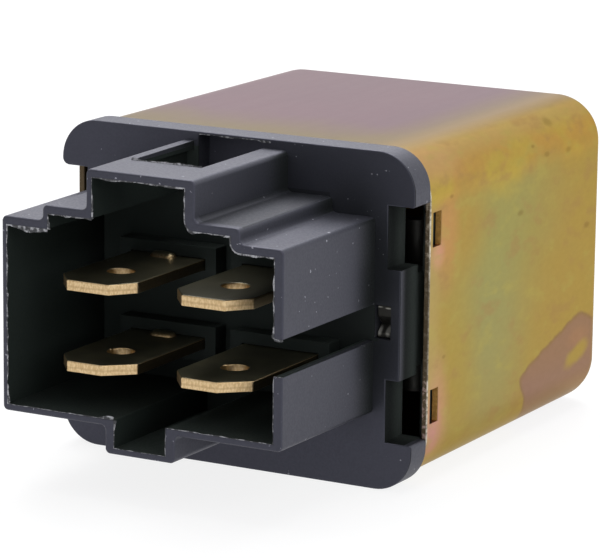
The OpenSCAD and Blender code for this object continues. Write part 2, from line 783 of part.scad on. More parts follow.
module yoke() {
    low_z = axis_z - yoke_w / 2;
    high_z = axis_z + yoke_w / 2;
    bend_x = leg_in_x - yoke_bend_r;
    bend_y = foot_top_y + yoke_bend_r;
    tab_end_y = flange_y + tab_recess;
    slot_half = tab_w / 2 + tab_relief;
    color([0.72, 0.73, 0.72])
        difference() {
            union() {
                difference() {
                    union() {
                        block([leg_in_x, bend_y, low_z], [leg_out_x, hinge_y, high_z]);
                        fold_z(bend_x, bend_y, low_z, high_z, -90, yoke_bend_r, yoke_t);
                        block([coil_x - foot_past_core, foot_y, low_z], [bend_x, foot_top_y, high_z]);
                    }
                    block([leg_in_x - tab_slot_len, foot_y - past, axis_z - slot_half],
                          [leg_out_x + past, bend_y + tab_relief, axis_z + slot_half]);
                }
                block([leg_in_x, tab_end_y, axis_z - tab_w / 2],
                      [leg_out_x, bend_y + 2 * tab_relief, axis_z + tab_w / 2]);
            }
            rod_y(coil_x, foot_y - past, foot_top_y + past, axis_z, tenon_d + 2 * round_gap);
            for (z = rivet_zs)
                rod_x(leg_in_x - past, leg_out_x + past, yoke_rivet_y, z, rivet_hole_d);
            translate([leg_in_x - past, tab_end_y, axis_z - tab_mark_drop])
                rotate([90, 0, 90])
                    linear_extrude(yoke_t + 2 * past)
                        polygon([[-past, -tab_mark - past], [tab_mark, 0], [-past, tab_mark + past]]);
        }
}

module core() {
    color([0.62, 0.62, 0.64]) {
        rod_y(coil_x, foot_y, foot_top_y, axis_z, tenon_d);
        rod_y(coil_x, foot_top_y, bobbin_end_y, axis_z, core_d);
        rod_y(coil_x, bobbin_end_y, pole_y, axis_z, pole_d);
    }
}

tube_in_d = core_d + 2 * round_gap;
tube_out_d = tube_in_d + 2 * bobbin_tube_t;

module bobbin() {
    color([0.16, 0.16, 0.17])
        difference() {
            union() {
                rod_y(coil_x, foot_top_y, foot_top_y + bobbin_flange_t, axis_z, bobbin_d);
                rod_y(coil_x, foot_top_y, bobbin_end_y, axis_z, tube_out_d);
                rod_y(coil_x, bobbin_end_y - bobbin_flange_t, bobbin_end_y, axis_z, bobbin_d);
            }
            rod_y(coil_x, foot_top_y - past, bobbin_end_y + past, axis_z, tube_in_d);
        }
}

// A round sleeve on the coil's axis
module sleeve(from_y, to_y, in_d, out_d) {
    difference() {
        rod_y(coil_x, from_y, to_y, axis_z, out_d);
        rod_y(coil_x, from_y - past, to_y + past, axis_z, in_d);
    }
}

winding_y = foot_top_y + bobbin_flange_t + round_gap;
winding_end_y = bobbin_end_y - bobbin_flange_t - round_gap;

module winding() {
    color([0.62, 0.28, 0.12])
        sleeve(winding_y, winding_end_y, tube_out_d + 2 * round_gap, winding_d);
}

tape_in_d = winding_d + 2 * round_gap;

module winding_tape() {
    color([0.75, 0.62, 0.22])
        sleeve(winding_y + tape_start, winding_end_y, tape_in_d, tape_in_d + 2 * tape_t);
}

// A lead wire from the bare end of the winding to a solder joint on a terminal's tail
solder_y = deck_y + solder_up;
function unit(v) = v / norm(v);
module lead(joint) {
    out = unit([joint.x - coil_x, joint.z - axis_z]);
    start_r = winding_d / 2 + lead_d / 8;
    start_y = winding_y + lead_d;
    start = [coil_x + start_r * out.x, start_y, axis_z + start_r * out.y];
    wire(start, joint, lead_d);
    translate(joint)
        sphere(d = solder_d);
}

module coil_lead_a() {
    joint = [bar_end_x, solder_y, lower_z];
    color([0.66, 0.40, 0.22])
        difference() {
            lead(joint);
            block([joint.x - tail_w, deck_y, lower_z - blade_t / 2],
                  [joint.x, deck_y + tail_len, lower_z + blade_t / 2]);
        }
}

module coil_lead_b() {
    joint = [right_x, solder_y, tail_b_z + blade_t];
    color([0.66, 0.40, 0.22])
        difference() {
            lead(joint);
            block([right_x - tail_w / 2, deck_y, tail_b_z],
                  [right_x + tail_w / 2, deck_y + tail_len, joint.z]);
        }
}

armature_rivet_x = coil_x + pole_d / 4;

module armature() {
    color([0.70, 0.70, 0.68])
        difference() {
            block([coil_x - armature_past_core, armature_y, axis_z - armature_w / 2],
                  [leg_in_x + hinge_lap, armature_top_y, axis_z + armature_w / 2]);
            for (z = rivet_zs)
                rod_y(armature_rivet_x, armature_y - past, armature_top_y + past, z, rivet_hole_d);
        }
}

// The spring's flat seen along Y: wide over the armature, narrow at the contact
spring_tip_x = contact_x - contact_d / 2 - contact_peen_t;
spring_taper_x = coil_x - armature_past_core;
spring_neck_x = contact_x + riser_w / 2 + contact_peen_t;
spring_bend_x = leg_out_x - spring_bend_r;

module contact_spring() {
    low_z = axis_z - spring_w / 2;
    high_z = axis_z + spring_w / 2;
    tip_low_z = axis_z - spring_tip_w / 2;
    tip_high_z = axis_z + spring_tip_w / 2;
    bend_y = armature_top_y - spring_bend_r;
    color([0.80, 0.52, 0.26])
        difference() {
            union() {
                along_y(armature_top_y, spring_top_y)
                    polygon([
                        [spring_bend_x, low_z], [spring_taper_x, low_z],
                        [spring_neck_x, tip_low_z], [spring_tip_x, tip_low_z],
                        [spring_tip_x, tip_high_z], [spring_neck_x, tip_high_z],
                        [spring_taper_x, high_z], [spring_bend_x, high_z]
                    ]);
                fold_z(spring_bend_x, bend_y, low_z, high_z, 0, spring_bend_r, spring_t);
                block([leg_out_x, hinge_y - spring_leg, low_z], [leg_out_x + spring_t, bend_y, high_z]);
            }
            for (z = rivet_zs) {
                rod_y(armature_rivet_x, armature_top_y - past, spring_top_y + past, z, rivet_hole_d);
                rod_x(leg_out_x - past, leg_out_x + spring_t + past, yoke_rivet_y, z, rivet_hole_d);
            }
            rod_y(contact_x, armature_top_y - past, spring_top_y + past, axis_z, contact_hole_d);
        }
}

module armature_rivets() {
    color([0.74, 0.74, 0.72])
        for (z = rivet_zs) {
            rod_y(armature_rivet_x, armature_y, spring_top_y + rivet_head_t / 2, z, rivet_d);
            rod_y(armature_rivet_x, spring_top_y, spring_top_y + rivet_head_t, z, rivet_head_d);
        }
}

module yoke_rivets() {
    color([0.74, 0.74, 0.72])
        for (z = rivet_zs) {
            rod_x(leg_in_x, leg_out_x + spring_t + rivet_head_t / 2, yoke_rivet_y, z, rivet_d);
            rod_x(leg_out_x + spring_t, leg_out_x + spring_t + rivet_head_t, yoke_rivet_y, z, rivet_head_d);
        }
}

peen_d = (contact_d + contact_shank_d) / 2;

module moving_contact() {
    color([0.82, 0.82, 0.80]) {
        rod_y(contact_x, armature_top_y - contact_t, armature_top_y, axis_z, contact_d);
        rod_y(contact_x, armature_top_y - contact_t / 2, spring_top_y + contact_peen_t / 2, axis_z,
              contact_shank_d);
        rod_y(contact_x, spring_top_y, spring_top_y + contact_peen_t, axis_z, peen_d);
    }
}

module fixed_contact() {
    color([0.82, 0.82, 0.80]) {
        rod_y(contact_x, pad_top_y, fixed_face_y, axis_z, contact_d);
        rod_y(contact_x, pad_y - contact_peen_t / 2, pad_top_y + contact_t / 2, axis_z, contact_shank_d);
        rod_y(contact_x, pad_y - contact_peen_t, pad_y, axis_z, peen_d);
    }
}

module back_stop() {
    low_z = axis_z - stop_w / 2;
    high_z = axis_z + stop_w / 2;
    bend_x = stop_x + blade_t + fold_r;
    bend_y = stop_y - fold_r;
    color([0.66, 0.66, 0.66]) {
        block([stop_x, deck_y - stop_root, low_z], [stop_x + blade_t, bend_y, high_z]);
        fold_z(bend_x, bend_y, low_z, high_z, 90, fold_r, blade_t);
        block([bend_x, stop_y, low_z], [contact_x + contact_d / 2, stop_y + blade_t, high_z]);
    }
}

can();
base();
coil_terminal_a();
coil_terminal_b();
load_terminal();
supply_terminal();
yoke();
core();
bobbin();
winding();
winding_tape();
coil_lead_a();
coil_lead_b();
armature();
contact_spring();
armature_rivets();
yoke_rivets();
moving_contact();
fixed_contact();
back_stop();
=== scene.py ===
"""The looks of a plug-in starter relay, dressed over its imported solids."""
import math
import random

import bmesh
import bpy
from mathutils import Euler, Matrix, Vector, noise


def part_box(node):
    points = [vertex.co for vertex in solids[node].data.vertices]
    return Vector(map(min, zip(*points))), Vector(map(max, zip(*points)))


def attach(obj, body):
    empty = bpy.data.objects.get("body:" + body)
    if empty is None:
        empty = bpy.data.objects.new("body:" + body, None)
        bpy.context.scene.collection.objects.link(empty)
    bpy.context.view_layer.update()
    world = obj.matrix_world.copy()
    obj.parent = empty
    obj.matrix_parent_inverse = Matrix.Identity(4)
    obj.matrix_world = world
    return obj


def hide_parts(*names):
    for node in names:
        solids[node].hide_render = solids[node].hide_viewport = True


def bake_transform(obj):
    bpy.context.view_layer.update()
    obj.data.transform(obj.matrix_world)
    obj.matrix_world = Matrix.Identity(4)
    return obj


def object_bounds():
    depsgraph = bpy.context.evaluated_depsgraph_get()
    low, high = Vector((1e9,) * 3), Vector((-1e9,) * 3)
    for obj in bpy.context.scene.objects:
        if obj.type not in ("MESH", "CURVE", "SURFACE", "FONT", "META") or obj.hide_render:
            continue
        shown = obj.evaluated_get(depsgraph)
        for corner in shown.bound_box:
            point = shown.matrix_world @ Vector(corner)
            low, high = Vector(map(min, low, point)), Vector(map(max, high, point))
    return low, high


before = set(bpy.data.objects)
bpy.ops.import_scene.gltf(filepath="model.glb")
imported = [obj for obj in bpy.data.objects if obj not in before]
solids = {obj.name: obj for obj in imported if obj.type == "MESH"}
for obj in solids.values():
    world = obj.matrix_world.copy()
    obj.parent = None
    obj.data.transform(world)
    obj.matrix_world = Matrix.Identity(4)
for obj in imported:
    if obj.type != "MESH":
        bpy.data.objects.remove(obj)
cad_low, cad_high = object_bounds()

# The base: one black moulding with the flange, the connector shroud and the seats of the blades.
# It leaves a steel mould that parts along Y, so the shroud narrows a little towards its mouth,
# its edges are slightly soft and its faces have a fine matt grain with dust in it. Painted shade dulls its
# hollows and dim corners, and painted light lifts the tone deep inside them.
MM = 0.001
shroud_depth = 13.2 * MM
shroud_reach = 11.9 * MM
draft = 0.0115
mouth_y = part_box("base")[0].y
flange_y = mouth_y + shroud_depth
axis_z = (cad_low.z + cad_high.z) / 2


def welded_copy(node, name):
    """A new piece with a copy of a solid's mesh, its triangles joined and its flat areas made whole."""
    shape = bmesh.new()
    shape.from_mesh(solids[node].data)
    bmesh.ops.remove_doubles(shape, verts=shape.verts, dist=0.001 * MM)
    bmesh.ops.dissolve_limit(shape, angle_limit=math.radians(0.5), verts=shape.verts, edges=shape.edges)
    mesh = bpy.data.meshes.new(name)
    shape.to_mesh(mesh)
    shape.free()
    for leftover in ("custom_normal", "sharp_edge", "sharp_face"):
        if leftover in mesh.attributes:
            mesh.attributes.remove(mesh.attributes[leftover])
    mesh.materials.clear()
    return new_piece(name, mesh)


def new_piece(name, mesh):
    """Puts a mesh in the scene as a piece at the origin."""
    piece = bpy.data.objects.new(name, mesh)
    bpy.context.scene.collection.objects.link(piece)
    return piece


def soften_edges(piece, width, share_at=None):
    """Rounds the sharp outside edges of a piece; share_at says what share of the width an edge gets.

    Inside corners stay sharp.
    """
    shape = bmesh.new()
    shape.from_mesh(piece.data)
    weight = shape.edges.layers.float.new("bevel_weight_edge")
    sharp_from = math.radians(35)
    for edge in shape.edges:
        if edge.calc_face_angle(0.0) < sharp_from:
            continue
        if edge.is_convex:
            edge[weight] = share_at(edge) if share_at else 1.0
        else:
            edge.smooth = False
    for face in shape.faces:
        face.smooth = True
    shape.to_mesh(piece.data)
    shape.free()
    bevel = piece.modifiers.new("soft_edges", "BEVEL")
    bevel.width = width
    bevel.segments = 2
    bevel.limit_method = "WEIGHT"
    bevel.use_clamp_overlap = False
    bevel.harden_normals = True


def start_look(name):
    """A new material with its shader, and the object's own coordinates for its patterns."""
    look = bpy.data.materials.new(name)
    look.use_nodes = True
    tree = look.node_tree
    place = tree.nodes.new("ShaderNodeTexCoord").outputs["Object"]
    return look, tree, tree.nodes["Principled BSDF"], place


def wire(tree, source, socket):
    """Links a socket, or sets a plain value."""
    if isinstance(source, bpy.types.NodeSocket):
        tree.links.new(source, socket)
    else:
        socket.default_value = source


def grain(tree, place, scale, detail=2.0, stretch=(1.0, 1.0, 1.0)):
    """Soft noise at so many lumps a metre, with its lumps drawn out where the stretch is under 1."""
    mapping = tree.nodes.new("ShaderNodeMapping")
    wire(tree, place, mapping.inputs["Vector"])
    wire(tree, stretch, mapping.inputs["Scale"])
    lumps = tree.nodes.new("ShaderNodeTexNoise")
    wire(tree, mapping.outputs["Vector"], lumps.inputs["Vector"])
    wire(tree, scale, lumps.inputs["Scale"])
    wire(tree, detail, lumps.inputs["Detail"])
    return lumps.outputs["Fac"]


def between(tree, value, low, high, at_low=0.0, at_high=1.0):
    """Maps a value smoothly from one range to another and holds it at the ends."""
    node = tree.nodes.new("ShaderNodeMapRange")
    node.interpolation_type = "SMOOTHSTEP"
    wire(tree, value, node.inputs["Value"])
    wire(tree, low, node.inputs["From Min"])
    wire(tree, high, node.inputs["From Max"])
    wire(tree, at_low, node.inputs["To Min"])
    wire(tree, at_high, node.inputs["To Max"])
    return node.outputs["Result"]


def blend_colour(tree, share, first, second):
    """The first colour where the share is 0 and the second where it is 1."""
    node = tree.nodes.new("ShaderNodeMix")
    node.data_type = "RGBA"
    wire(tree, share, node.inputs[0])
    wire(tree, first if isinstance(first, bpy.types.NodeSocket) else (*first, 1.0), node.inputs[6])
    wire(tree, second if isinstance(second, bpy.types.NodeSocket) else (*second, 1.0), node.inputs[7])
    return node.outputs[2]


def combine(tree, operation, first, second, third=0.0):
    """One step of arithmetic on two values, or on three where the operation takes them."""
    node = tree.nodes.new("ShaderNodeMath")
    node.operation = operation
    wire(tree, first, node.inputs[0])
    wire(tree, second, node.inputs[1])
    wire(tree, third, node.inputs[2])
    return node.outputs["Value"]


def raise_surface(tree, shader, height, depth, strength):
    """Bumps the shader's surface by a height map of a given depth."""
    bump = tree.nodes.new("ShaderNodeBump")
    wire(tree, height, bump.inputs["Height"])
    wire(tree, depth, bump.inputs["Distance"])
    wire(tree, strength, bump.inputs["Strength"])
    wire(tree, bump.outputs["Normal"], shader.inputs["Normal"])


def parts_of(tree, vector):
    """The X, Y and Z parts of a vector."""
    node = tree.nodes.new("ShaderNodeSeparateXYZ")
    wire(tree, vector, node.inputs["Vector"])
    return node.outputs


def largest_of(tree, values):
    """The largest of several values."""
    largest = values[0]
    for value in values[1:]:
        largest = combine(tree, "MAXIMUM", largest, value)
    return largest


def in_box(tree, place, low, high):
    """1 inside a box on the piece and 0 outside it; the corners are in millimetres."""
    low = Vector(low) * MM
    high = Vector(high) * MM
    mapping = tree.nodes.new("ShaderNodeMapping")
    mapping.vector_type = "TEXTURE"
    wire(tree, place, mapping.inputs["Vector"])
    wire(tree, (low + high) / 2, mapping.inputs["Location"])
    wire(tree, (high - low) / 2, mapping.inputs["Scale"])
    sides = parts_of(tree, mapping.outputs["Vector"])
    reach = [combine(tree, "ABSOLUTE", sides[axis], 0.0) for axis in ("X", "Y", "Z")]
    return between(tree, largest_of(tree, reach), 1.0, 0.99)


def swing(tree, lumps, size):
    """Noise made to swing either side of zero, scaled by a size."""
    return combine(tree, "MULTIPLY", combine(tree, "SUBTRACT", lumps, 0.5), size)


def soft_spot(tree, place, middle, reach, edge, wander=0.0, tilt=0.0):
    """1 inside an ellipsoid on the piece and 0 outside it, with an edge that may wander; tilted about X."""
    mapping = tree.nodes.new("ShaderNodeMapping")
    mapping.vector_type = "TEXTURE"
    wire(tree, place, mapping.inputs["Vector"])
    wire(tree, middle, mapping.inputs["Location"])
    wire(tree, (tilt, 0.0, 0.0), mapping.inputs["Rotation"])
    wire(tree, reach, mapping.inputs["Scale"])
    size = tree.nodes.new("ShaderNodeVectorMath")
    size.operation = "LENGTH"
    wire(tree, mapping.outputs["Vector"], size.inputs[0])
    distance = size.outputs["Value"]
    if wander:
        distance = combine(tree, "ADD", distance, swing(tree, grain(tree, place, 420.0, 4.0), wander))
    return between(tree, distance, 1.0 + edge / 2, 1.0 - edge / 2)


black_moulding, tree, shader, place = start_look("black_moulding")
# The plug's space: between the walls, under the step, in the latch housing, the key and the wall's slot.
plug_front = -23.2
plug_back = -9.9
plug_space = [
    in_box(tree, place, (-11.4, plug_front, 5.9), (11.25, plug_back, 19.8)),
    in_box(tree, place, (-7.95, plug_front, 19.0), (7.95, plug_back, 20.95)),
    in_box(tree, place, (-4.2, plug_front, 20.0), (4.2, plug_back, 23.95)),
    in_box(tree, place, (-2.5, plug_front, 3.85), (2.5, plug_back, 7.0)),
    in_box(tree, place, (10.5, plug_front, 11.05), (12.05, plug_back - 0.05, 13.75)),
]
# The pockets in the flange's right edge that show the locking hooks, and the gap behind the rim.
lock_pockets = [
    in_box(tree, place, (12.5, -10.0, 3.5), (14.3, -3.0, 8.3)),
    in_box(tree, place, (12.5, -10.0, 16.4), (14.3, -3.0, 21.2)),
    in_box(tree, place, (12.5, -7.6, 3.5), (14.6, -3.0, 21.2)),
]
at = parts_of(tree, place)
# Painted shade for places that get little light: the land between the pockets, the step, and the corners of
# walls and flange.
land = in_box(tree, place, (13.6, -10.0, 3.5), (14.3, -7.5, 21.3))
land = combine(tree, "MULTIPLY", land, between(tree, at["Y"], -10.3 * MM, -8.9 * MM))
step_top = combine(tree, "MULTIPLY", in_box(tree, place, (4.4, -22.6, 21.0), (8.0, -9.9, 21.6)), 0.5)
facing = parts_of(tree, tree.nodes["Texture Coordinate"].outputs["Normal"])
wall_end = between(tree, at["Y"], -14.2 * MM, -10.3 * MM, 0.0, 0.8)
wall_end = combine(tree, "MULTIPLY", wall_end, between(tree, facing["X"], 0.5, 0.8))
wall_end = combine(tree, "MULTIPLY", wall_end, between(tree, at["Y"], -9.9 * MM, -10.0 * MM))
by_wall = soft_spot(tree, place, (10.4 * MM, flange_y, 14.0 * MM), (3.8 * MM, 0.4 * MM, 8.5 * MM), 1.0)
by_wall = combine(tree, "MULTIPLY", by_wall, between(tree, facing["Y"], -0.5, -0.8, 0.0, 0.65))
# Painted shade: the hollows, the pockets and these places get much weaker reflections and a tone of their
# own.
hollow = largest_of(tree, plug_space)
painted_shade_places = largest_of(tree, lock_pockets + [land, step_top, wall_end, by_wall])
painted_shade = combine(tree, "MAXIMUM", hollow, painted_shade_places)
# The skin: black with a soft cloud and grains of dust. In the hollows a paler tone, paler still on floors and
# back faces, is painted light that lifts their shade.
skin = grain(tree, place, 6000.0, 3.0)
cloud = grain(tree, place, 260.0, 4.0)
dust = between(tree, grain(tree, place, 2600.0, 1.0), 0.75, 0.79)
tone = blend_colour(tree, cloud, (0.0108, 0.0118, 0.0125), (0.0168, 0.0182, 0.0200))
tone = blend_colour(tree, dust, tone, (0.30, 0.30, 0.33))
inner_floor = between(tree, facing["Z"], 0.5, 0.8)
inner_back = between(tree, facing["Y"], -0.5, -0.8)
lifted_faces = combine(tree, "MAXIMUM", inner_floor, inner_back)
hollow_lifted_tone = blend_colour(tree, lifted_faces, (0.021, 0.027, 0.024), (0.031, 0.038, 0.034))
tone = blend_colour(tree, hollow, tone, hollow_lifted_tone)
# In the pockets and dim places the tone is dark by the flange's front and paler deeper in, painted light that
# lifts the shade behind the rim.
lifted_inward = between(tree, at["Y"], -9.4 * MM, -7.4 * MM)
shade_places_tone = blend_colour(tree, lifted_inward, (0.0115, 0.0132, 0.0124), (0.040, 0.047, 0.043))
tone = blend_colour(tree, painted_shade_places, tone, shade_places_tone)
wire(tree, tone, shader.inputs["Base Color"])
# Painted shade: much weaker reflections in the hollows and the dim places.
wire(tree, between(tree, painted_shade, 0.0, 1.0, 0.9, 0.06), shader.inputs["Specular IOR Level"])
wire(tree, (0.74, 0.74, 1.0, 1.0), shader.inputs["Specular Tint"])
wire(tree, between(tree, skin, 0.3, 0.7, 0.48, 0.58), shader.inputs["Roughness"])
raise_surface(tree, shader, skin, 0.011 * MM, 0.6)

base = welded_copy("base", "moulded_base")


def faces_out(face):
    """Whether a wall of the shroud looks away from the space that the plug enters."""
    middle = face.calc_center_median()
    return abs(face.normal.y) < 0.5 and face.normal.x * middle.x + face.normal.z * (middle.z - axis_z) > 0.0


def at_mouth(edge):
    """Whether an edge lies in the plane of the shroud's mouth."""
    return all(abs(v.co.y - mouth_y) < 0.005 * MM for v in edge.verts)


drafted = bmesh.new()
drafted.from_mesh(base.data)
outside = [v for v in drafted.verts if v.co.y < flange_y and any(faces_out(face) for face in v.link_faces)]
for vertex in outside:
    forward = (flange_y - vertex.co.y) / shroud_depth
    vertex.co.x *= 1.0 - draft * forward
    vertex.co.z = axis_z + (vertex.co.z - axis_z) * (1.0 - draft * forward)
drafted.to_mesh(base.data)
drafted.free()


def moulded_share(edge):
    """How round an edge is: most round the mouth, less on the flange's outline, least at narrow places."""
    middle = (edge.verts[0].co + edge.verts[1].co) / 2
    # The edges of the pocket behind the latch window, and of the hole for the yoke's tab.
    in_flange = middle.y > flange_y - 0.1 * MM
    by_latch = in_flange and abs(middle.x) < 3.2 * MM and middle.z > axis_z + 8.5 * MM
    by_tab = in_flange and 11.6 * MM < middle.x < 13.3 * MM and abs(middle.z - axis_z) < 1.5 * MM
    if (by_latch and middle.z < cad_high.z - 0.05 * MM) or by_tab:
        return 0.06
    if at_mouth(edge) and any(faces_out(face) for face in edge.link_faces):
        return 0.9
    if all(abs(v.co.y - flange_y) < 0.01 * MM and abs(v.co.x) > shroud_reach for v in edge.verts):
        return 0.55
    return 0.3


soften_edges(base, 0.18 * MM, moulded_share)
base.data.materials.append(black_moulding)
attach(base, "relay")
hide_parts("base")

# Flash: a paper-thin ragged fin of plastic that the mould's joints leave round the shroud's mouth,
# at the latch window's front edge and over the pocket behind it. It is part of the moulding.
flash_step = 0.11 * MM
flash_inset = 0.03 * MM
# Where the fin is torn out wider: each place, the reach round it and the growth there.
torn_places = (
    (Vector((-9.2, -23.2, 19.4)) * MM, 0.9 * MM, 2.2),
    (Vector((4.1, -23.2, 20.2)) * MM, 0.4 * MM, 2.5),
    (Vector((-2.5, -23.2, 6.2)) * MM, 0.7 * MM, 3.0),
)
upper_mouth_fin = 0.16 * MM
lower_mouth_fin = 0.07 * MM
window_fin = 0.14 * MM
pocket_fin = 0.13 * MM
window_front_y = mouth_y + 4.4 * MM
pocket_top_z = cad_high.z - 0.15 * MM

flash_look, tree, shader, place = start_look("whitened_flash")
fray = grain(tree, place, 3200.0, 3.0)
whitened = between(tree, fray, 0.42, 0.64)
torn_tone = blend_colour(tree, whitened, (0.040, 0.041, 0.046), (0.42, 0.42, 0.44))
wire(tree, torn_tone, shader.inputs["Base Color"])
wire(tree, between(tree, fray, 0.3, 0.7, 0.45, 0.65), shader.inputs["Roughness"])
raise_surface(tree, shader, fray, 0.01 * MM, 0.6)

chance = random.Random(7)
fin = bmesh.new()


def add_fin(edge, outward, reach):
    """Grows a ragged fin from an edge, its width changing slowly along the edge with a few torn bits."""
    run = edge.verts[1].co - edge.verts[0].co
    steps = max(2, round(run.length / flash_step))
    row = []
    for step in range(steps + 1):
        foot = edge.verts[0].co + run * (step / steps) + Vector((0.0, flash_inset, 0.0))
        swell = max(0.0, noise.noise(foot / (0.9 * MM)) + 0.35)
        for torn_at, spread, growth in torn_places:
            swell += growth * math.exp(-((foot - torn_at).length / spread) ** 2)
        tear = chance.choice((0.2, 0.2, 0.25, 0.4))
        lean = Vector((0.0, chance.uniform(0.0, 0.3), 0.0))
        row.append((fin.verts.new(foot), fin.verts.new(foot + (outward + lean) * reach * (swell + tear))))
    for (foot_a, tip_a), (foot_b, tip_b) in zip(row, row[1:]):
        fin.faces.new((foot_a, foot_b, tip_b, tip_a))


moulded = bmesh.new()
moulded.from_mesh(base.data)
for edge in moulded.edges:
    middle = (edge.verts[0].co + edge.verts[1].co) / 2
    at_window = abs(middle.y - window_front_y) < 0.01 * MM and middle.z > axis_z + 11.0 * MM
    at_pocket = abs(middle.y - flange_y) < 0.01 * MM and abs(middle.z - pocket_top_z) < 0.02 * MM
    for face in edge.link_faces:
        if at_mouth(edge) and abs(face.normal.y) < 0.5 and not faces_out(face):
            add_fin(edge, face.normal, upper_mouth_fin if middle.z > axis_z else lower_mouth_fin)
        elif at_window and face.normal.y > 0.5:
            add_fin(edge, Vector((0.0, 0.4, 1.0)), window_fin)
        elif at_pocket and face.normal.z < -0.5:
            add_fin(edge, face.normal, pocket_fin)
moulded.free()
bmesh.ops.remove_doubles(fin, verts=fin.verts, dist=0.001 * MM)
bmesh.ops.recalc_face_normals(fin, faces=fin.faces)
fin_mesh = bpy.data.meshes.new("moulding_flash")
fin.to_mesh(fin_mesh)
fin.free()
flash = new_piece("moulding_flash", fin_mesh)
sheet = flash.modifiers.new("thickness", "SOLIDIFY")
sheet.thickness = 0.03 * MM
sheet.offset = 0.0
flash.data.materials.append(flash_look)
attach(flash, "relay")

# The four blade terminals: stamped from rolled brass strip and pressed into the base from behind.
# Their flats and long edges are dulled. The cut ends are bright, sheared above and torn below a wavy line.
row_pitch = 5.95 * MM
lower_underside_z = 9.075 * MM
break_height = 0.34 * MM
brass_look, tree, shader, place = start_look("terminal_brass")
facing = parts_of(tree, tree.nodes["Texture Coordinate"].outputs["Normal"])
at = parts_of(tree, place)
flatness = combine(tree, "ABSOLUTE", facing["Z"], 0.0)
cut = between(tree, flatness, 0.9, 0.45)
rolled = grain(tree, place, 1800.0, 3.0, stretch=(1.0, 0.06, 1.0))
tarnish = grain(tree, place, 420.0, 4.0)
shear = grain(tree, place, 7000.0, 3.0, stretch=(1.0, 1.0, 0.5))
dulled = between(tree, tarnish, 0.35, 0.65)
flat_tone = blend_colour(tree, dulled, (0.145, 0.135, 0.085), (0.21, 0.19, 0.12))
# The upper right blade's flats are darker.
darker_blade = in_box(tree, place, (0.5, plug_front, 15.0), (9.5, -9.5, 16.0))
darker_blade = combine(tree, "MULTIPLY", darker_blade, 0.6)
flat_tone = blend_colour(tree, darker_blade, flat_tone, (0.05, 0.048, 0.034))
scored = between(tree, shear, 0.35, 0.65)
cut_tone = blend_colour(tree, scored, (0.56, 0.39, 0.20), (0.72, 0.54, 0.31))
# On a cut end a darker wavy line parts the sheared half from the torn half.
over_underside = combine(tree, "SUBTRACT", at["Z"], lower_underside_z)
over_underside = combine(tree, "MODULO", over_underside, row_pitch)
wavy = swing(tree, tarnish, 0.3 * MM)
from_break = combine(tree, "SUBTRACT", combine(tree, "ADD", over_underside, wavy), break_height)
from_break = combine(tree, "ABSOLUTE", from_break, 0.0)
break_line = between(tree, from_break, 0.12 * MM, 0.02 * MM, 0.0, 0.3)
cut_tone = blend_colour(tree, break_line, cut_tone, (0.26, 0.16, 0.07))
# The long edges, which face sideways, are nearly as dull as the flats.
sideways = between(tree, combine(tree, "ABSOLUTE", facing["X"], 0.0), 0.85, 0.97, 0.0, 0.85)
cut_tone = blend_colour(tree, sideways, cut_tone, (0.13, 0.11, 0.065))
wire(tree, blend_colour(tree, cut, flat_tone, cut_tone), shader.inputs["Base Color"])
wire(tree, between(tree, cut, 0.0, 1.0, 0.8, 1.0), shader.inputs["Metallic"])
rough = combine(tree, "ADD", rolled, cut)
wire(tree, between(tree, rough, 0.3, 1.4, 0.30, 0.38), shader.inputs["Roughness"])
marks = combine(tree, "MULTIPLY_ADD", rolled, 0.12, combine(tree, "MULTIPLY", shear, cut))
raise_surface(tree, shader, marks, 0.006 * MM, 0.6)


def rolled_over(edge):
    """The punch rounds a stamping's upper edges and its corners more than its lower edges."""
    upper = all(face.normal.z > -0.5 for face in edge.link_faces)
    return 1.0 if upper else 0.4


for node in ("load_terminal", "supply_terminal", "coil_terminal_a", "coil_terminal_b"):
    blade = welded_copy(node, node + "_stamped")
    soften_edges(blade, 0.12 * MM, rolled_over)
    blade.data.materials.append(brass_look)
    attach(blade, "relay")
    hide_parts(node)

# The iron circuit: the folded yoke, whose tab is staked in the flange, the turned core and the back stop.
# All are soft iron with a thin zinc plate, so they are grey with a faint warm cast and dull spots.
# The end of the tab, which the chisel struck, is painted dark, partly for its cut steel and partly as painted
# shade, with painted glints at given places on it.
# A reach longer than the part, for spots that run right through it.
far = 60.0 * MM
iron_look, tree, shader, place = start_look("plated_iron")
spangle = grain(tree, place, 900.0, 4.0)
wipe = grain(tree, place, 3000.0, 2.0, stretch=(1.0, 0.1, 1.0))
plate = blend_colour(tree, spangle, (0.34, 0.31, 0.25), (0.56, 0.53, 0.46))
facing = parts_of(tree, tree.nodes["Texture Coordinate"].outputs["Normal"])
struck = between(tree, facing["Y"], -0.35, -0.6)
# Each painted glint's place in X and Z and its reach, in millimetres.
painted_glints = [
    soft_spot(tree, place, (spot_x * MM, 0.0, spot_z * MM), (reach_x * MM, far, reach_z * MM), 1.2, 0.8)
    for spot_x, spot_z, reach_x, reach_z in (
        (11.98, 11.76, 0.16, 0.28),
        (12.66, 11.80, 0.16, 0.30),
        (11.95, 13.55, 0.24, 0.05),
        (12.70, 13.50, 0.20, 0.05),
    )
]
# Painted shade darkens the struck end, and the glints on it are painted highlights.
struck_shade_and_glint_tone = blend_colour(tree, largest_of(tree, painted_glints), (0.022, 0.021, 0.017), (0.34, 0.33, 0.29))
wire(tree, blend_colour(tree, struck, plate, struck_shade_and_glint_tone), shader.inputs["Base Color"])
wire(tree, between(tree, struck, 0.0, 1.0, 1.0, 0.5), shader.inputs["Metallic"])
wire(tree, between(tree, wipe, 0.3, 0.7, 0.34, 0.50), shader.inputs["Roughness"])
raise_surface(tree, shader, wipe, 0.008 * MM, 0.5)

for node in ("yoke", "core", "back_stop"):
    plated = welded_copy(node, node + "_plated")
    soften_edges(plated, 0.08 * MM)
    plated.data.materials.append(iron_look)
    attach(plated, "relay")
    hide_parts(node)

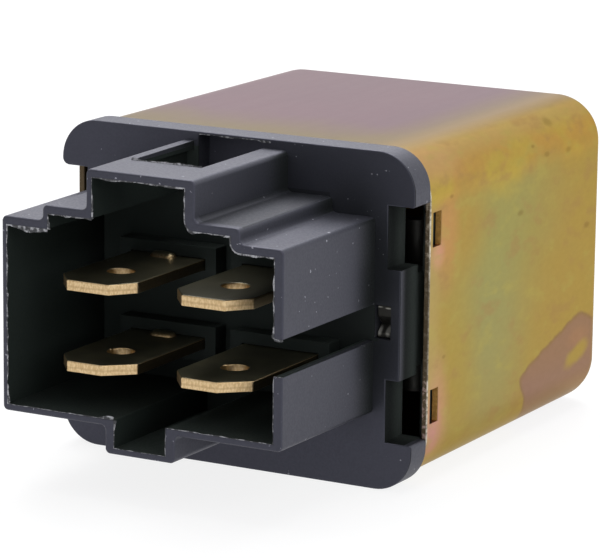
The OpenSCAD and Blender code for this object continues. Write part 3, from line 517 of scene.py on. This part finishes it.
# The coil: a moulded bobbin on the core, wound with lacquered copper wire and closed with a layer of tape.
# Each end of the wire is drawn straight to a solder joint on its terminal's tail.
bobbin_look, tree, shader, place = start_look("bobbin_plastic")
flow = grain(tree, place, 500.0, 3.0)
bobbin_tone = blend_colour(tree, flow, (0.030, 0.030, 0.034), (0.055, 0.055, 0.060))
wire(tree, bobbin_tone, shader.inputs["Base Color"])
wire(tree, between(tree, flow, 0.3, 0.7, 0.4, 0.55), shader.inputs["Roughness"])
raise_surface(tree, shader, grain(tree, place, 5000.0, 2.0), 0.008 * MM, 0.6)

bobbin = welded_copy("bobbin", "bobbin_moulded")
soften_edges(bobbin, 0.1 * MM)
bobbin.data.materials.append(bobbin_look)
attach(bobbin, "relay")
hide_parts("bobbin")

copper_look, tree, shader, place = start_look("enamelled_copper")
lacquer = grain(tree, place, 700.0, 3.0)
wire(tree, blend_colour(tree, lacquer, (0.42, 0.16, 0.06), (0.66, 0.30, 0.12)), shader.inputs["Base Color"])
wire(tree, 1.0, shader.inputs["Metallic"])
wire(tree, between(tree, lacquer, 0.3, 0.7, 0.22, 0.36), shader.inputs["Roughness"])
raise_surface(tree, shader, grain(tree, place, 4000.0, 2.0), 0.004 * MM, 0.5)

tape_look, tree, shader, place = start_look("coil_tape")
wrinkle = grain(tree, place, 600.0, 3.0, stretch=(1.0, 0.3, 1.0))
wire(tree, blend_colour(tree, wrinkle, (0.52, 0.33, 0.05), (0.72, 0.52, 0.12)), shader.inputs["Base Color"])
wire(tree, between(tree, wrinkle, 0.3, 0.7, 0.2, 0.35), shader.inputs["Roughness"])
raise_surface(tree, shader, wrinkle, 0.03 * MM, 0.5)
for node, look in (("winding_tape", tape_look), ("coil_lead_a", copper_look), ("coil_lead_b", copper_look)):
    solids[node].data.materials.clear()
    solids[node].data.materials.append(look)


def named_tree(name, sizes):
    """An empty geometry tree with one named float input for each size."""
    tree = bpy.data.node_groups.new(name, "GeometryNodeTree")
    tree.interface.new_socket("Geometry", in_out="INPUT", socket_type="NodeSocketGeometry")
    tree.interface.new_socket("Geometry", in_out="OUTPUT", socket_type="NodeSocketGeometry")
    for size in sizes:
        tree.interface.new_socket(size, in_out="INPUT", socket_type="NodeSocketFloat")
    return tree, tree.nodes.new("NodeGroupInput"), tree.nodes.new("NodeGroupOutput")


def grown_mesh(name, tree, sizes):
    """Runs a geometry tree with the given sizes and returns the result as a plain mesh."""
    seed = bpy.data.objects.new(name + "_seed", bpy.data.meshes.new(name + "_seed"))
    bpy.context.scene.collection.objects.link(seed)
    modifier = seed.modifiers.new("grow", "NODES")
    modifier.node_group = tree
    for item in tree.interface.items_tree:
        if item.in_out == "INPUT" and item.name in sizes:
            modifier[item.identifier] = sizes[item.name]
    depsgraph = bpy.context.evaluated_depsgraph_get()
    mesh = bpy.data.meshes.new_from_object(seed.evaluated_get(depsgraph))
    mesh.name = name
    bpy.data.objects.remove(seed)
    return mesh


points_per_turn = 56
points_round_wire = 6
turns_tree, given, result = named_tree("wire_turns", ("Radius", "Wire", "Count"))
ring = turns_tree.nodes.new("GeometryNodeCurvePrimitiveCircle")
wire(turns_tree, points_per_turn, ring.inputs["Resolution"])
ring_radius = combine(turns_tree, "SUBTRACT", given.outputs["Radius"], given.outputs["Wire"])
wire(turns_tree, ring_radius, ring.inputs["Radius"])
section = turns_tree.nodes.new("GeometryNodeCurvePrimitiveCircle")
wire(turns_tree, points_round_wire, section.inputs["Resolution"])
wire(turns_tree, given.outputs["Wire"], section.inputs["Radius"])
turn = turns_tree.nodes.new("GeometryNodeCurveToMesh")
wire(turns_tree, ring.outputs["Curve"], turn.inputs["Curve"])
wire(turns_tree, section.outputs["Curve"], turn.inputs["Profile Curve"])
pitch = turns_tree.nodes.new("ShaderNodeCombineXYZ")
wire(turns_tree, combine(turns_tree, "MULTIPLY", given.outputs["Wire"], 2.0), pitch.inputs["Z"])
line = turns_tree.nodes.new("GeometryNodeMeshLine")
wire(turns_tree, given.outputs["Count"], line.inputs["Count"])
wire(turns_tree, pitch.outputs["Vector"], line.inputs["Offset"])
copies = turns_tree.nodes.new("GeometryNodeInstanceOnPoints")
wire(turns_tree, line.outputs["Mesh"], copies.inputs["Points"])
wire(turns_tree, turn.outputs["Mesh"], copies.inputs["Instance"])
real = turns_tree.nodes.new("GeometryNodeRealizeInstances")
wire(turns_tree, copies.outputs["Instances"], real.inputs["Geometry"])
coat = turns_tree.nodes.new("GeometryNodeSetMaterial")
wire(turns_tree, real.outputs["Geometry"], coat.inputs["Geometry"])
wire(turns_tree, copper_look, coat.inputs["Material"])
wire(turns_tree, coat.outputs["Geometry"], result.inputs["Geometry"])

winding_low, winding_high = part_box("winding")
wire_radius = 0.13 * MM
turn_count = int((winding_high.y - winding_low.y) / (2 * wire_radius))
turns = grown_mesh("winding_turns", turns_tree, {
    "Radius": (winding_high.x - winding_low.x) / 2,
    "Wire": wire_radius,
    "Count": float(turn_count),
})
coil_x = (winding_low.x + winding_high.x) / 2
first_turn = Matrix.Translation((coil_x, winding_low.y + wire_radius, axis_z))
turns.transform(first_turn @ Matrix.Rotation(math.radians(-90), 4, "X"))
winding = new_piece("winding_turns", turns)
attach(winding, "relay")
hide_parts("winding")

# The moving group: the plated iron armature, the bronze leaf that is its hinge and return spring, and two
# pairs of iron rivets. The leaf's short leg is riveted to the yoke. In the relay the leaf bends beside the
# yoke's edge when the armature pulls in; here it is a still copy, attached to neither body.
armature = welded_copy("armature", "armature_plated")
soften_edges(armature, 0.08 * MM)
armature.data.materials.append(iron_look)
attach(armature, "armature")
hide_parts("armature")

bronze_look, tree, shader, place = start_look("spring_bronze")
roll = grain(tree, place, 2600.0, 3.0, stretch=(0.08, 1.0, 1.0))
stain = grain(tree, place, 380.0, 4.0)
wire(tree, blend_colour(tree, stain, (0.52, 0.29, 0.13), (0.74, 0.47, 0.24)), shader.inputs["Base Color"])
wire(tree, 1.0, shader.inputs["Metallic"])
wire(tree, between(tree, roll, 0.3, 0.7, 0.2, 0.36), shader.inputs["Roughness"])
raise_surface(tree, shader, roll, 0.004 * MM, 0.5)

leaf = welded_copy("contact_spring", "contact_leaf")
leaf.data.materials.append(bronze_look)
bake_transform(leaf)
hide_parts("contact_spring")

rivet_dome = 0.5 * MM
rivet_head_d = 3.2 * MM
rivet_shank_d = 1.8 * MM
rivet_sides = 24
head_top_share = 0.7
rivet_tree, given, result = named_tree("rivet_pair", ("Shank", "Head", "Length", "Dome", "Pitch"))
shank = rivet_tree.nodes.new("GeometryNodeMeshCylinder")
wire(rivet_tree, rivet_sides, shank.inputs["Vertices"])
wire(rivet_tree, given.outputs["Shank"], shank.inputs["Radius"])
wire(rivet_tree, given.outputs["Length"], shank.inputs["Depth"])
drop = rivet_tree.nodes.new("ShaderNodeCombineXYZ")
wire(rivet_tree, combine(rivet_tree, "MULTIPLY", given.outputs["Length"], -0.5), drop.inputs["Z"])
set_shank = rivet_tree.nodes.new("GeometryNodeTransform")
wire(rivet_tree, shank.outputs["Mesh"], set_shank.inputs["Geometry"])
wire(rivet_tree, drop.outputs["Vector"], set_shank.inputs["Translation"])
head = rivet_tree.nodes.new("GeometryNodeMeshCone")
head_top = combine(rivet_tree, "MULTIPLY", given.outputs["Head"], head_top_share)
wire(rivet_tree, rivet_sides, head.inputs["Vertices"])
wire(rivet_tree, head_top, head.inputs["Radius Top"])
wire(rivet_tree, given.outputs["Head"], head.inputs["Radius Bottom"])
wire(rivet_tree, given.outputs["Dome"], head.inputs["Depth"])
both = rivet_tree.nodes.new("GeometryNodeJoinGeometry")
wire(rivet_tree, set_shank.outputs["Geometry"], both.inputs["Geometry"])
wire(rivet_tree, head.outputs["Mesh"], both.inputs["Geometry"])
step = rivet_tree.nodes.new("ShaderNodeCombineXYZ")
wire(rivet_tree, given.outputs["Pitch"], step.inputs["X"])
line = rivet_tree.nodes.new("GeometryNodeMeshLine")
wire(rivet_tree, 2, line.inputs["Count"])
wire(rivet_tree, step.outputs["Vector"], line.inputs["Offset"])
copies = rivet_tree.nodes.new("GeometryNodeInstanceOnPoints")
wire(rivet_tree, line.outputs["Mesh"], copies.inputs["Points"])
wire(rivet_tree, both.outputs["Geometry"], copies.inputs["Instance"])
real = rivet_tree.nodes.new("GeometryNodeRealizeInstances")
wire(rivet_tree, copies.outputs["Instances"], real.inputs["Geometry"])
coat = rivet_tree.nodes.new("GeometryNodeSetMaterial")
wire(rivet_tree, real.outputs["Geometry"], coat.inputs["Geometry"])
wire(rivet_tree, iron_look, coat.inputs["Material"])
wire(rivet_tree, coat.outputs["Geometry"], result.inputs["Geometry"])

quarter = math.radians(90)
for node, body, turn_to, out in (
    ("armature_rivets", "armature", Euler((-quarter, -quarter, 0.0)), Vector((0.0, 1.0, 0.0))),
    ("yoke_rivets", "relay", Euler((0.0, quarter, 0.0)), Vector((1.0, 0.0, 0.0))),
):
    low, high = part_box(node)
    total = (high - low).dot(out)
    pair = grown_mesh(node + "_pressed", rivet_tree, {
        "Shank": rivet_shank_d / 2,
        "Head": rivet_head_d / 2,
        "Length": total - rivet_dome,
        "Dome": rivet_dome,
        "Pitch": high.z - low.z - rivet_head_d,
    })
    seat = (low + high) / 2
    seat += out * (total / 2 - rivet_dome)
    seat.z = low.z + rivet_head_d / 2
    turn_matrix = turn_to.to_matrix().to_4x4()
    if (turn_matrix @ Vector((1.0, 0.0, 0.0))).z < 0.0:
        seat.z = high.z - rivet_head_d / 2
    pair.transform(Matrix.Translation(seat) @ turn_matrix)
    rivets = new_piece(node + "_pressed", pair)
    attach(rivets, body)
    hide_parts(node)

# The contacts: silver rivets with a broad head, one peened into the leaf and one into the load terminal.
# They are cold headed from wire, so they are bright all over, with a faint bloom.
silver_look, tree, shader, place = start_look("contact_silver")
bloom = grain(tree, place, 1200.0, 4.0)
wire(tree, blend_colour(tree, bloom, (0.62, 0.61, 0.57), (0.86, 0.85, 0.82)), shader.inputs["Base Color"])
wire(tree, 1.0, shader.inputs["Metallic"])
wire(tree, between(tree, bloom, 0.3, 0.7, 0.16, 0.34), shader.inputs["Roughness"])
raise_surface(tree, shader, bloom, 0.004 * MM, 0.5)
for node, body in (("moving_contact", "armature"), ("fixed_contact", "relay")):
    contact = welded_copy(node, node + "_silver")
    soften_edges(contact, 0.1 * MM)
    contact.data.materials.append(silver_look)
    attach(contact, body)
    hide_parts(node)

# The can: deep drawn from steel sheet, zinc plated and yellow passivated. Four windows snap over the base's
# noses. The passivation is a thin film of uneven thickness, so gold runs into grey green, orange and pink,
# and a brown stain has dried on the side towards the closed end.
side_x = cad_high.x


def beside_line(tree, at, start, end):
    """How far a place lies right of a line on the can's side; its ends are in Y and Z millimetres."""
    run = (Vector(end) - Vector(start)).normalized()
    along_y = combine(tree, "MULTIPLY", combine(tree, "SUBTRACT", at["Y"], start[0] * MM), run.y)
    along_z = combine(tree, "MULTIPLY", combine(tree, "SUBTRACT", at["Z"], start[1] * MM), -run.x)
    return combine(tree, "ADD", along_y, along_z)


def side_spot(tree, place, middle_y, middle_z, reach_y, reach_z, edge, wander, tilt=0.0):
    """A soft spot on the can's side, with its place and reach in millimetres."""
    middle = (side_x, middle_y * MM, middle_z * MM)
    return soft_spot(tree, place, middle, (far, reach_y * MM, reach_z * MM), edge, wander, tilt)


zinc_look, tree, shader, place = start_look("yellow_zinc")
at = parts_of(tree, place)
facing = parts_of(tree, tree.nodes["Texture Coordinate"].outputs["Normal"])
drawn = grain(tree, place, 900.0, 4.0, stretch=(1.0, 0.12, 1.0))
cloud = grain(tree, place, 110.0, 4.0, stretch=(1.0, 0.7, 1.0))
mottle = grain(tree, place, 240.0, 5.0, stretch=(1.0, 0.6, 1.0))
blotch = grain(tree, place, 700.0, 5.0, stretch=(1.0, 0.5, 1.0))
film = blend_colour(tree, between(tree, cloud, 0.3, 0.7), (0.385, 0.280, 0.095), (0.355, 0.275, 0.115))
# Clouds in the film: each one's tone, its middle in Y and Z, its reach in Y and Z, and its strength.
for tone, middle_y, middle_z, reach_y, reach_z, strength in (
    ((0.29, 0.32, 0.14), 4.6, 17.2, 7.0, 5.5, 0.6),
    ((0.28, 0.31, 0.16), 3.0, 9.8, 5.6, 5.5, 0.6),
    ((0.38, 0.26, 0.095), 14.0, 10.0, 7.0, 7.0, 0.35),
    ((0.42, 0.265, 0.080), -2.6, 18.4, 3.4, 3.2, 0.6),
    ((0.40, 0.285, 0.075), -3.0, 7.5, 2.8, 5.0, 0.5),
    ((0.56, 0.29, 0.22), -6.4, 5.2, 1.6, 3.4, 0.7),
    ((0.54, 0.25, 0.28), -7.0, 4.2, 1.0, 2.0, 0.8),
    ((0.51, 0.27, 0.13), -5.2, 18.6, 1.6, 3.4, 0.75),
    ((0.60, 0.29, 0.24), -6.5, 17.2, 0.9, 0.9, 0.85),
    ((0.46, 0.35, 0.16), -7.6, 12.0, 1.4, 8.0, 0.5),
):
    spot = side_spot(tree, place, middle_y, middle_z, reach_y, reach_z, 1.6, 0.5)
    film = blend_colour(tree, combine(tree, "MULTIPLY", spot, strength), film, tone)
# Towards the top edge the film turns gold, then a painted cream highlight runs along the bend, with salmon by
# the rim.
ragged = swing(tree, mottle, 6.0 * MM)
corner = between(tree, combine(tree, "ADD", at["Z"], ragged), 19.6 * MM, 22.4 * MM)
cream_highlight = between(tree, at["Z"], 22.9 * MM, 24.4 * MM, 0.0, 0.7)
gold = blend_colour(tree, between(tree, mottle, 0.42, 0.58), (0.49, 0.29, 0.09), (0.48, 0.35, 0.085))
film = blend_colour(tree, combine(tree, "MULTIPLY", corner, 0.85), film, gold)
film = blend_colour(tree, cream_highlight, film, (0.46, 0.34, 0.165))
salmon = side_spot(tree, place, -6.0, 23.7, 4.0, 1.2, 1.4, 0.5)
film = blend_colour(tree, combine(tree, "MULTIPLY", salmon, 0.5), film, (0.54, 0.30, 0.19))
# Small blotches all over are browner or yellower.
browned = between(tree, blotch, 0.52, 0.70, 0.0, 0.45)
film = blend_colour(tree, browned, film, (0.34, 0.21, 0.11))
yellowed = between(tree, blotch, 0.46, 0.28, 0.0, 0.45)
film = blend_colour(tree, yellowed, film, (0.40, 0.35, 0.12))
# The top is mauve, and turns to gold towards the flange and the right edge.
top = between(tree, at["Z"], 24.3 * MM, 24.79 * MM)
mauve = blend_colour(tree, between(tree, cloud, 0.35, 0.65), (0.215, 0.148, 0.160), (0.205, 0.143, 0.156))
near_flange = between(tree, combine(tree, "ADD", at["Y"], ragged), 2.0 * MM, -6.5 * MM)
mauve = blend_colour(tree, near_flange, mauve, (0.225, 0.190, 0.085))
near_side = between(tree, at["X"], 6.5 * MM, 11.0 * MM)
mauve = blend_colour(tree, combine(tree, "MULTIPLY", near_side, 0.8), mauve, (0.25, 0.20, 0.085))
at_bend = between(tree, at["X"], 9.4 * MM, 11.8 * MM, 0.0, 0.85)
mauve = blend_colour(tree, at_bend, mauve, (0.34, 0.245, 0.085))
film = blend_colour(tree, top, film, mauve)
# The stain's edge runs through four corners, given in Y and Z. It is blunted and frayed, with a darker
# tide mark, and leaves one island clean.
stain_corners = ((9.05, 2.6), (7.55, 4.85), (18.5, 8.1), (21.0, 7.1))
lines = [beside_line(tree, at, start, end) for start, end in zip(stain_corners, stain_corners[1:])]
blunt = 1.2 * MM
depth = combine(tree, "SMOOTH_MIN", lines[0], lines[1], blunt)
depth = combine(tree, "SMOOTH_MIN", depth, lines[2], blunt)
frayed = swing(tree, grain(tree, place, 420.0, 5.0), 0.9 * MM)
depth = combine(tree, "ADD", depth, frayed)
spared = side_spot(tree, place, 18.0, 4.7, 1.9, 0.72, 0.8, 0.9, math.radians(13))
on_side = between(tree, at["X"], 9.0 * MM, 12.0 * MM)
stained = combine(tree, "MULTIPLY", between(tree, depth, -0.25 * MM, 0.05 * MM), on_side)
stained = combine(tree, "MULTIPLY", stained, combine(tree, "SUBTRACT", 1.0, spared))
downward = between(tree, at["Z"], 6.0 * MM, 2.5 * MM)
stain_tone = blend_colour(tree, downward, (0.28, 0.168, 0.148), (0.275, 0.168, 0.172))
pinker = side_spot(tree, place, 18.3, 6.1, 1.6, 0.7, 1.4, 0.6)
stain_tone = blend_colour(tree, combine(tree, "MULTIPLY", pinker, 0.8), stain_tone, (0.34, 0.190, 0.150))
tide_mark = between(tree, depth, 0.35 * MM, -0.05 * MM, 0.0, 0.5)
stain_tone = blend_colour(tree, tide_mark, stain_tone, (0.22, 0.145, 0.070))
film = blend_colour(tree, combine(tree, "MULTIPLY", stained, 0.9), film, stain_tone)
# Dark specks on the side: each one's place in Y and Z, and its size.
for speck_y, speck_z, speck_size in (
    (-4.4, 21.1, 0.12), (7.3, 17.9, 0.20), (15.7, 21.5, 0.22), (11.8, 21.7, 0.18),
    (9.8, 22.6, 0.12), (19.5, 14.9, 0.20), (-5.2, 9.3, 0.12), (14.0, 23.8, 0.30),
):
    speck = side_spot(tree, place, speck_y, speck_z, 2.2 * speck_size, speck_size, 1.2, 1.2)
    speck = combine(tree, "MULTIPLY", combine(tree, "MULTIPLY", speck, on_side), 0.36)
    film = blend_colour(tree, speck, film, (0.14, 0.085, 0.04))
# Faint streaks along the draw and fine flecks.
fleck = grain(tree, place, 2600.0, 3.0, stretch=(1.0, 0.5, 1.0))
streak = between(tree, drawn, 0.3, 0.7, 0.495, 0.505)
streak = combine(tree, "ADD", streak, between(tree, fleck, 0.3, 0.7, 0.475, 0.525))
toned = tree.nodes.new("ShaderNodeVectorMath")
toned.operation = "SCALE"
wire(tree, film, toned.inputs[0])
wire(tree, streak, toned.inputs["Scale"])
# The cut edges: the rim is dark with pale crystals, its burr carries a painted highlight along the outer
# edge, and painted light makes the windows' edges, which lie in shade, a bright orange.
sheared = between(tree, facing["Y"], -0.3, -0.8)
crystal = grain(tree, place, 3600.0, 4.0)
low_rim = between(tree, at["Z"], 9.0 * MM, 7.0 * MM)
high_rim = between(tree, at["Z"], 14.5 * MM, 17.5 * MM)
crusted = between(tree, combine(tree, "MAXIMUM", low_rim, high_rim), 0.0, 1.0, 0.25, 0.8)
crusted = combine(tree, "MULTIPLY", crusted, between(tree, at["X"], 0.0, side_x))
bright_crystal = blend_colour(tree, low_rim, (0.46, 0.39, 0.30), (0.62, 0.44, 0.40))
bright_share = combine(tree, "MULTIPLY", between(tree, crystal, 0.48, 0.68), crusted)
rim_tone = blend_colour(tree, bright_share, (0.105, 0.076, 0.045), bright_crystal)
# Painted highlight: a bright line on the burr along the rim's outer edge.
burr_highlight = between(tree, at["X"], side_x - 0.16 * MM, side_x - 0.10 * MM)
burr_highlight = combine(tree, "MULTIPLY", burr_highlight, between(tree, crystal, 0.36, 0.56, 0.3, 1.0))
burr_highlight = combine(tree, "MULTIPLY", burr_highlight, crusted)
rim_tone = blend_colour(tree, burr_highlight, rim_tone, (0.85, 0.80, 0.66))
# Painted light: a bright orange on the windows' edges, which lie in shade.
window_lit_tone = blend_colour(tree, between(tree, crystal, 0.4, 0.65), (0.50, 0.27, 0.07), (0.66, 0.37, 0.10))
in_window = between(tree, at["Y"], -7.2 * MM, -6.8 * MM)
cut_tone = blend_colour(tree, in_window, rim_tone, window_lit_tone)
wire(tree, blend_colour(tree, sheared, toned.outputs["Vector"], cut_tone), shader.inputs["Base Color"])
wire(tree, between(tree, sheared, 0.0, 1.0, 1.0, 0.4), shader.inputs["Metallic"])
edge_tint = blend_colour(tree, top, (0.74, 0.62, 0.40), (0.74, 0.67, 0.70))
wire(tree, edge_tint, shader.inputs["Specular Tint"])
polish = between(tree, drawn, 0.3, 0.7, 0.30, 0.312)
polish = combine(tree, "MAXIMUM", polish, combine(tree, "MULTIPLY", sheared, 0.5))
wire(tree, polish, shader.inputs["Roughness"])
raise_surface(tree, shader, drawn, 0.001 * MM, 0.25)

can = welded_copy("can", "drawn_can")
rim_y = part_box("can")[0].y


def sheet_share(edge):
    """The punch leaves the windows' edges sharper than the trimmed rim."""
    middle = (edge.verts[0].co + edge.verts[1].co) / 2
    return 0.3 if rim_y + 0.2 * MM < middle.y < rim_y + 2.0 * MM else 1.0


soften_edges(can, 0.09 * MM, sheet_share)
can.data.materials.append(zinc_look)
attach(can, "relay")
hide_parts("can")

# The studio: a pale floor that runs out to white, and broad lights overhead, behind at the left and in front
# at the right. The room in front is dimmer than the white behind and above. The camera stands where the photo
# was taken, with a long lens.


def seen_directly(tree, path):
    """1 for what the camera sees, also in a reflection or through something clear, and 0 for other light."""
    kinds = ("Is Camera Ray", "Is Glossy Ray", "Is Transmission Ray")
    return largest_of(tree, [path.outputs[kind] for kind in kinds])


floor_half = 2.0
glow_share = 0.75
glow_strength = 1.12
floor_shape = bmesh.new()
corners = []
for x, y in ((-1, -1), (1, -1), (1, 1), (-1, 1)):
    corners.append(floor_shape.verts.new((x * floor_half, y * floor_half, cad_low.z)))
floor_shape.faces.new(corners)
floor_mesh = bpy.data.meshes.new("floor")
floor_shape.to_mesh(floor_mesh)
floor_shape.free()
floor = new_piece("floor", floor_mesh)
floor_look, tree, shader, place = start_look("pale_floor")
paper = blend_colour(tree, grain(tree, place, 40.0), (0.80, 0.80, 0.80), (0.82, 0.82, 0.82))
wire(tree, paper, shader.inputs["Base Color"])
wire(tree, 0.9, shader.inputs["Roughness"])
glow = tree.nodes.new("ShaderNodeEmission")
path = tree.nodes.new("ShaderNodeLightPath")
show = tree.nodes.new("ShaderNodeMixShader")
wire(tree, combine(tree, "MULTIPLY", seen_directly(tree, path), glow_share), show.inputs["Fac"])
wire(tree, shader.outputs["BSDF"], show.inputs[1])
wire(tree, glow.outputs["Emission"], show.inputs[2])
wire(tree, show.outputs["Shader"], tree.nodes["Material Output"].inputs["Surface"])
wire(tree, glow_strength, glow.inputs["Strength"])
floor.data.materials.append(floor_look)

world = bpy.data.worlds.new("studio")
bpy.context.scene.world = world
world.use_nodes = True
tree = world.node_tree
ambient = tree.nodes["Background"]
wire(tree, (0.93, 0.95, 1.0, 1.0), ambient.inputs["Color"])
wire(tree, 0.45, ambient.inputs["Strength"])
backdrop = tree.nodes.new("ShaderNodeBackground")
wire(tree, (1.0, 1.0, 1.0, 1.0), backdrop.inputs["Color"])
path = tree.nodes.new("ShaderNodeLightPath")
heading = parts_of(tree, tree.nodes.new("ShaderNodeTexCoord").outputs["Generated"])
behind = between(tree, heading["Y"], -0.25, 0.25, 0.3, 1.0)
above = between(tree, heading["Z"], 0.15, 0.5, 0.0, 0.9)
wire(tree, largest_of(tree, [behind, above, path.outputs["Is Camera Ray"]]), backdrop.inputs["Strength"])
pick = tree.nodes.new("ShaderNodeMixShader")
wire(tree, seen_directly(tree, path), pick.inputs["Fac"])
wire(tree, ambient.outputs["Background"], pick.inputs[1])
wire(tree, backdrop.outputs["Background"], pick.inputs[2])
wire(tree, pick.outputs["Shader"], tree.nodes["World Output"].inputs["Surface"])

middle = (cad_low + cad_high) / 2
for name, toward, distance, size, power in (
    ("overhead", Vector((-0.1, 0.25, 1.0)), 0.40, 0.36, 1.1),
    ("back_left", Vector((-0.40, 0.62, 0.95)), 0.42, 0.26, 0.8),
    ("front_right", Vector((1.0, -0.35, 0.50)), 0.42, 0.30, 0.5),
):
    lamp = bpy.data.lights.new(name, "AREA")
    lamp.shape = "SQUARE"
    lamp.size = size
    lamp.energy = power
    lamp_object = bpy.data.objects.new(name, lamp)
    lamp_object.location = middle + toward.normalized() * distance
    lamp_object.rotation_euler = toward.to_track_quat("Z", "Y").to_euler()
    bpy.context.scene.collection.objects.link(lamp_object)

camera = bpy.data.cameras.new("photo_camera")
camera.sensor_width = 36.0
camera.lens = 212.4
camera.clip_start = 0.01
camera.clip_end = 10.0
azimuth = math.radians(28.9333)
elevation = math.radians(12.3358)
roll = math.radians(0.6394)
distance = 259.76 * MM
aim = Vector((4.597 * MM, -8.25 * MM, 14.40 * MM))
level = Vector((math.sin(azimuth), -math.cos(azimuth), 0.0))
back = level * math.cos(elevation) + Vector((0.0, 0.0, math.sin(elevation)))
camera_object = bpy.data.objects.new("photo_camera", camera)
camera_object.matrix_world = (Matrix.Translation(aim + back * distance)
                              @ back.to_track_quat("Z", "Y").to_matrix().to_4x4()
                              @ Matrix.Rotation(roll, 4, "Z"))
bpy.context.scene.collection.objects.link(camera_object)
bpy.context.scene.camera = camera_object
bpy.context.scene.view_settings.view_transform = "Standard"
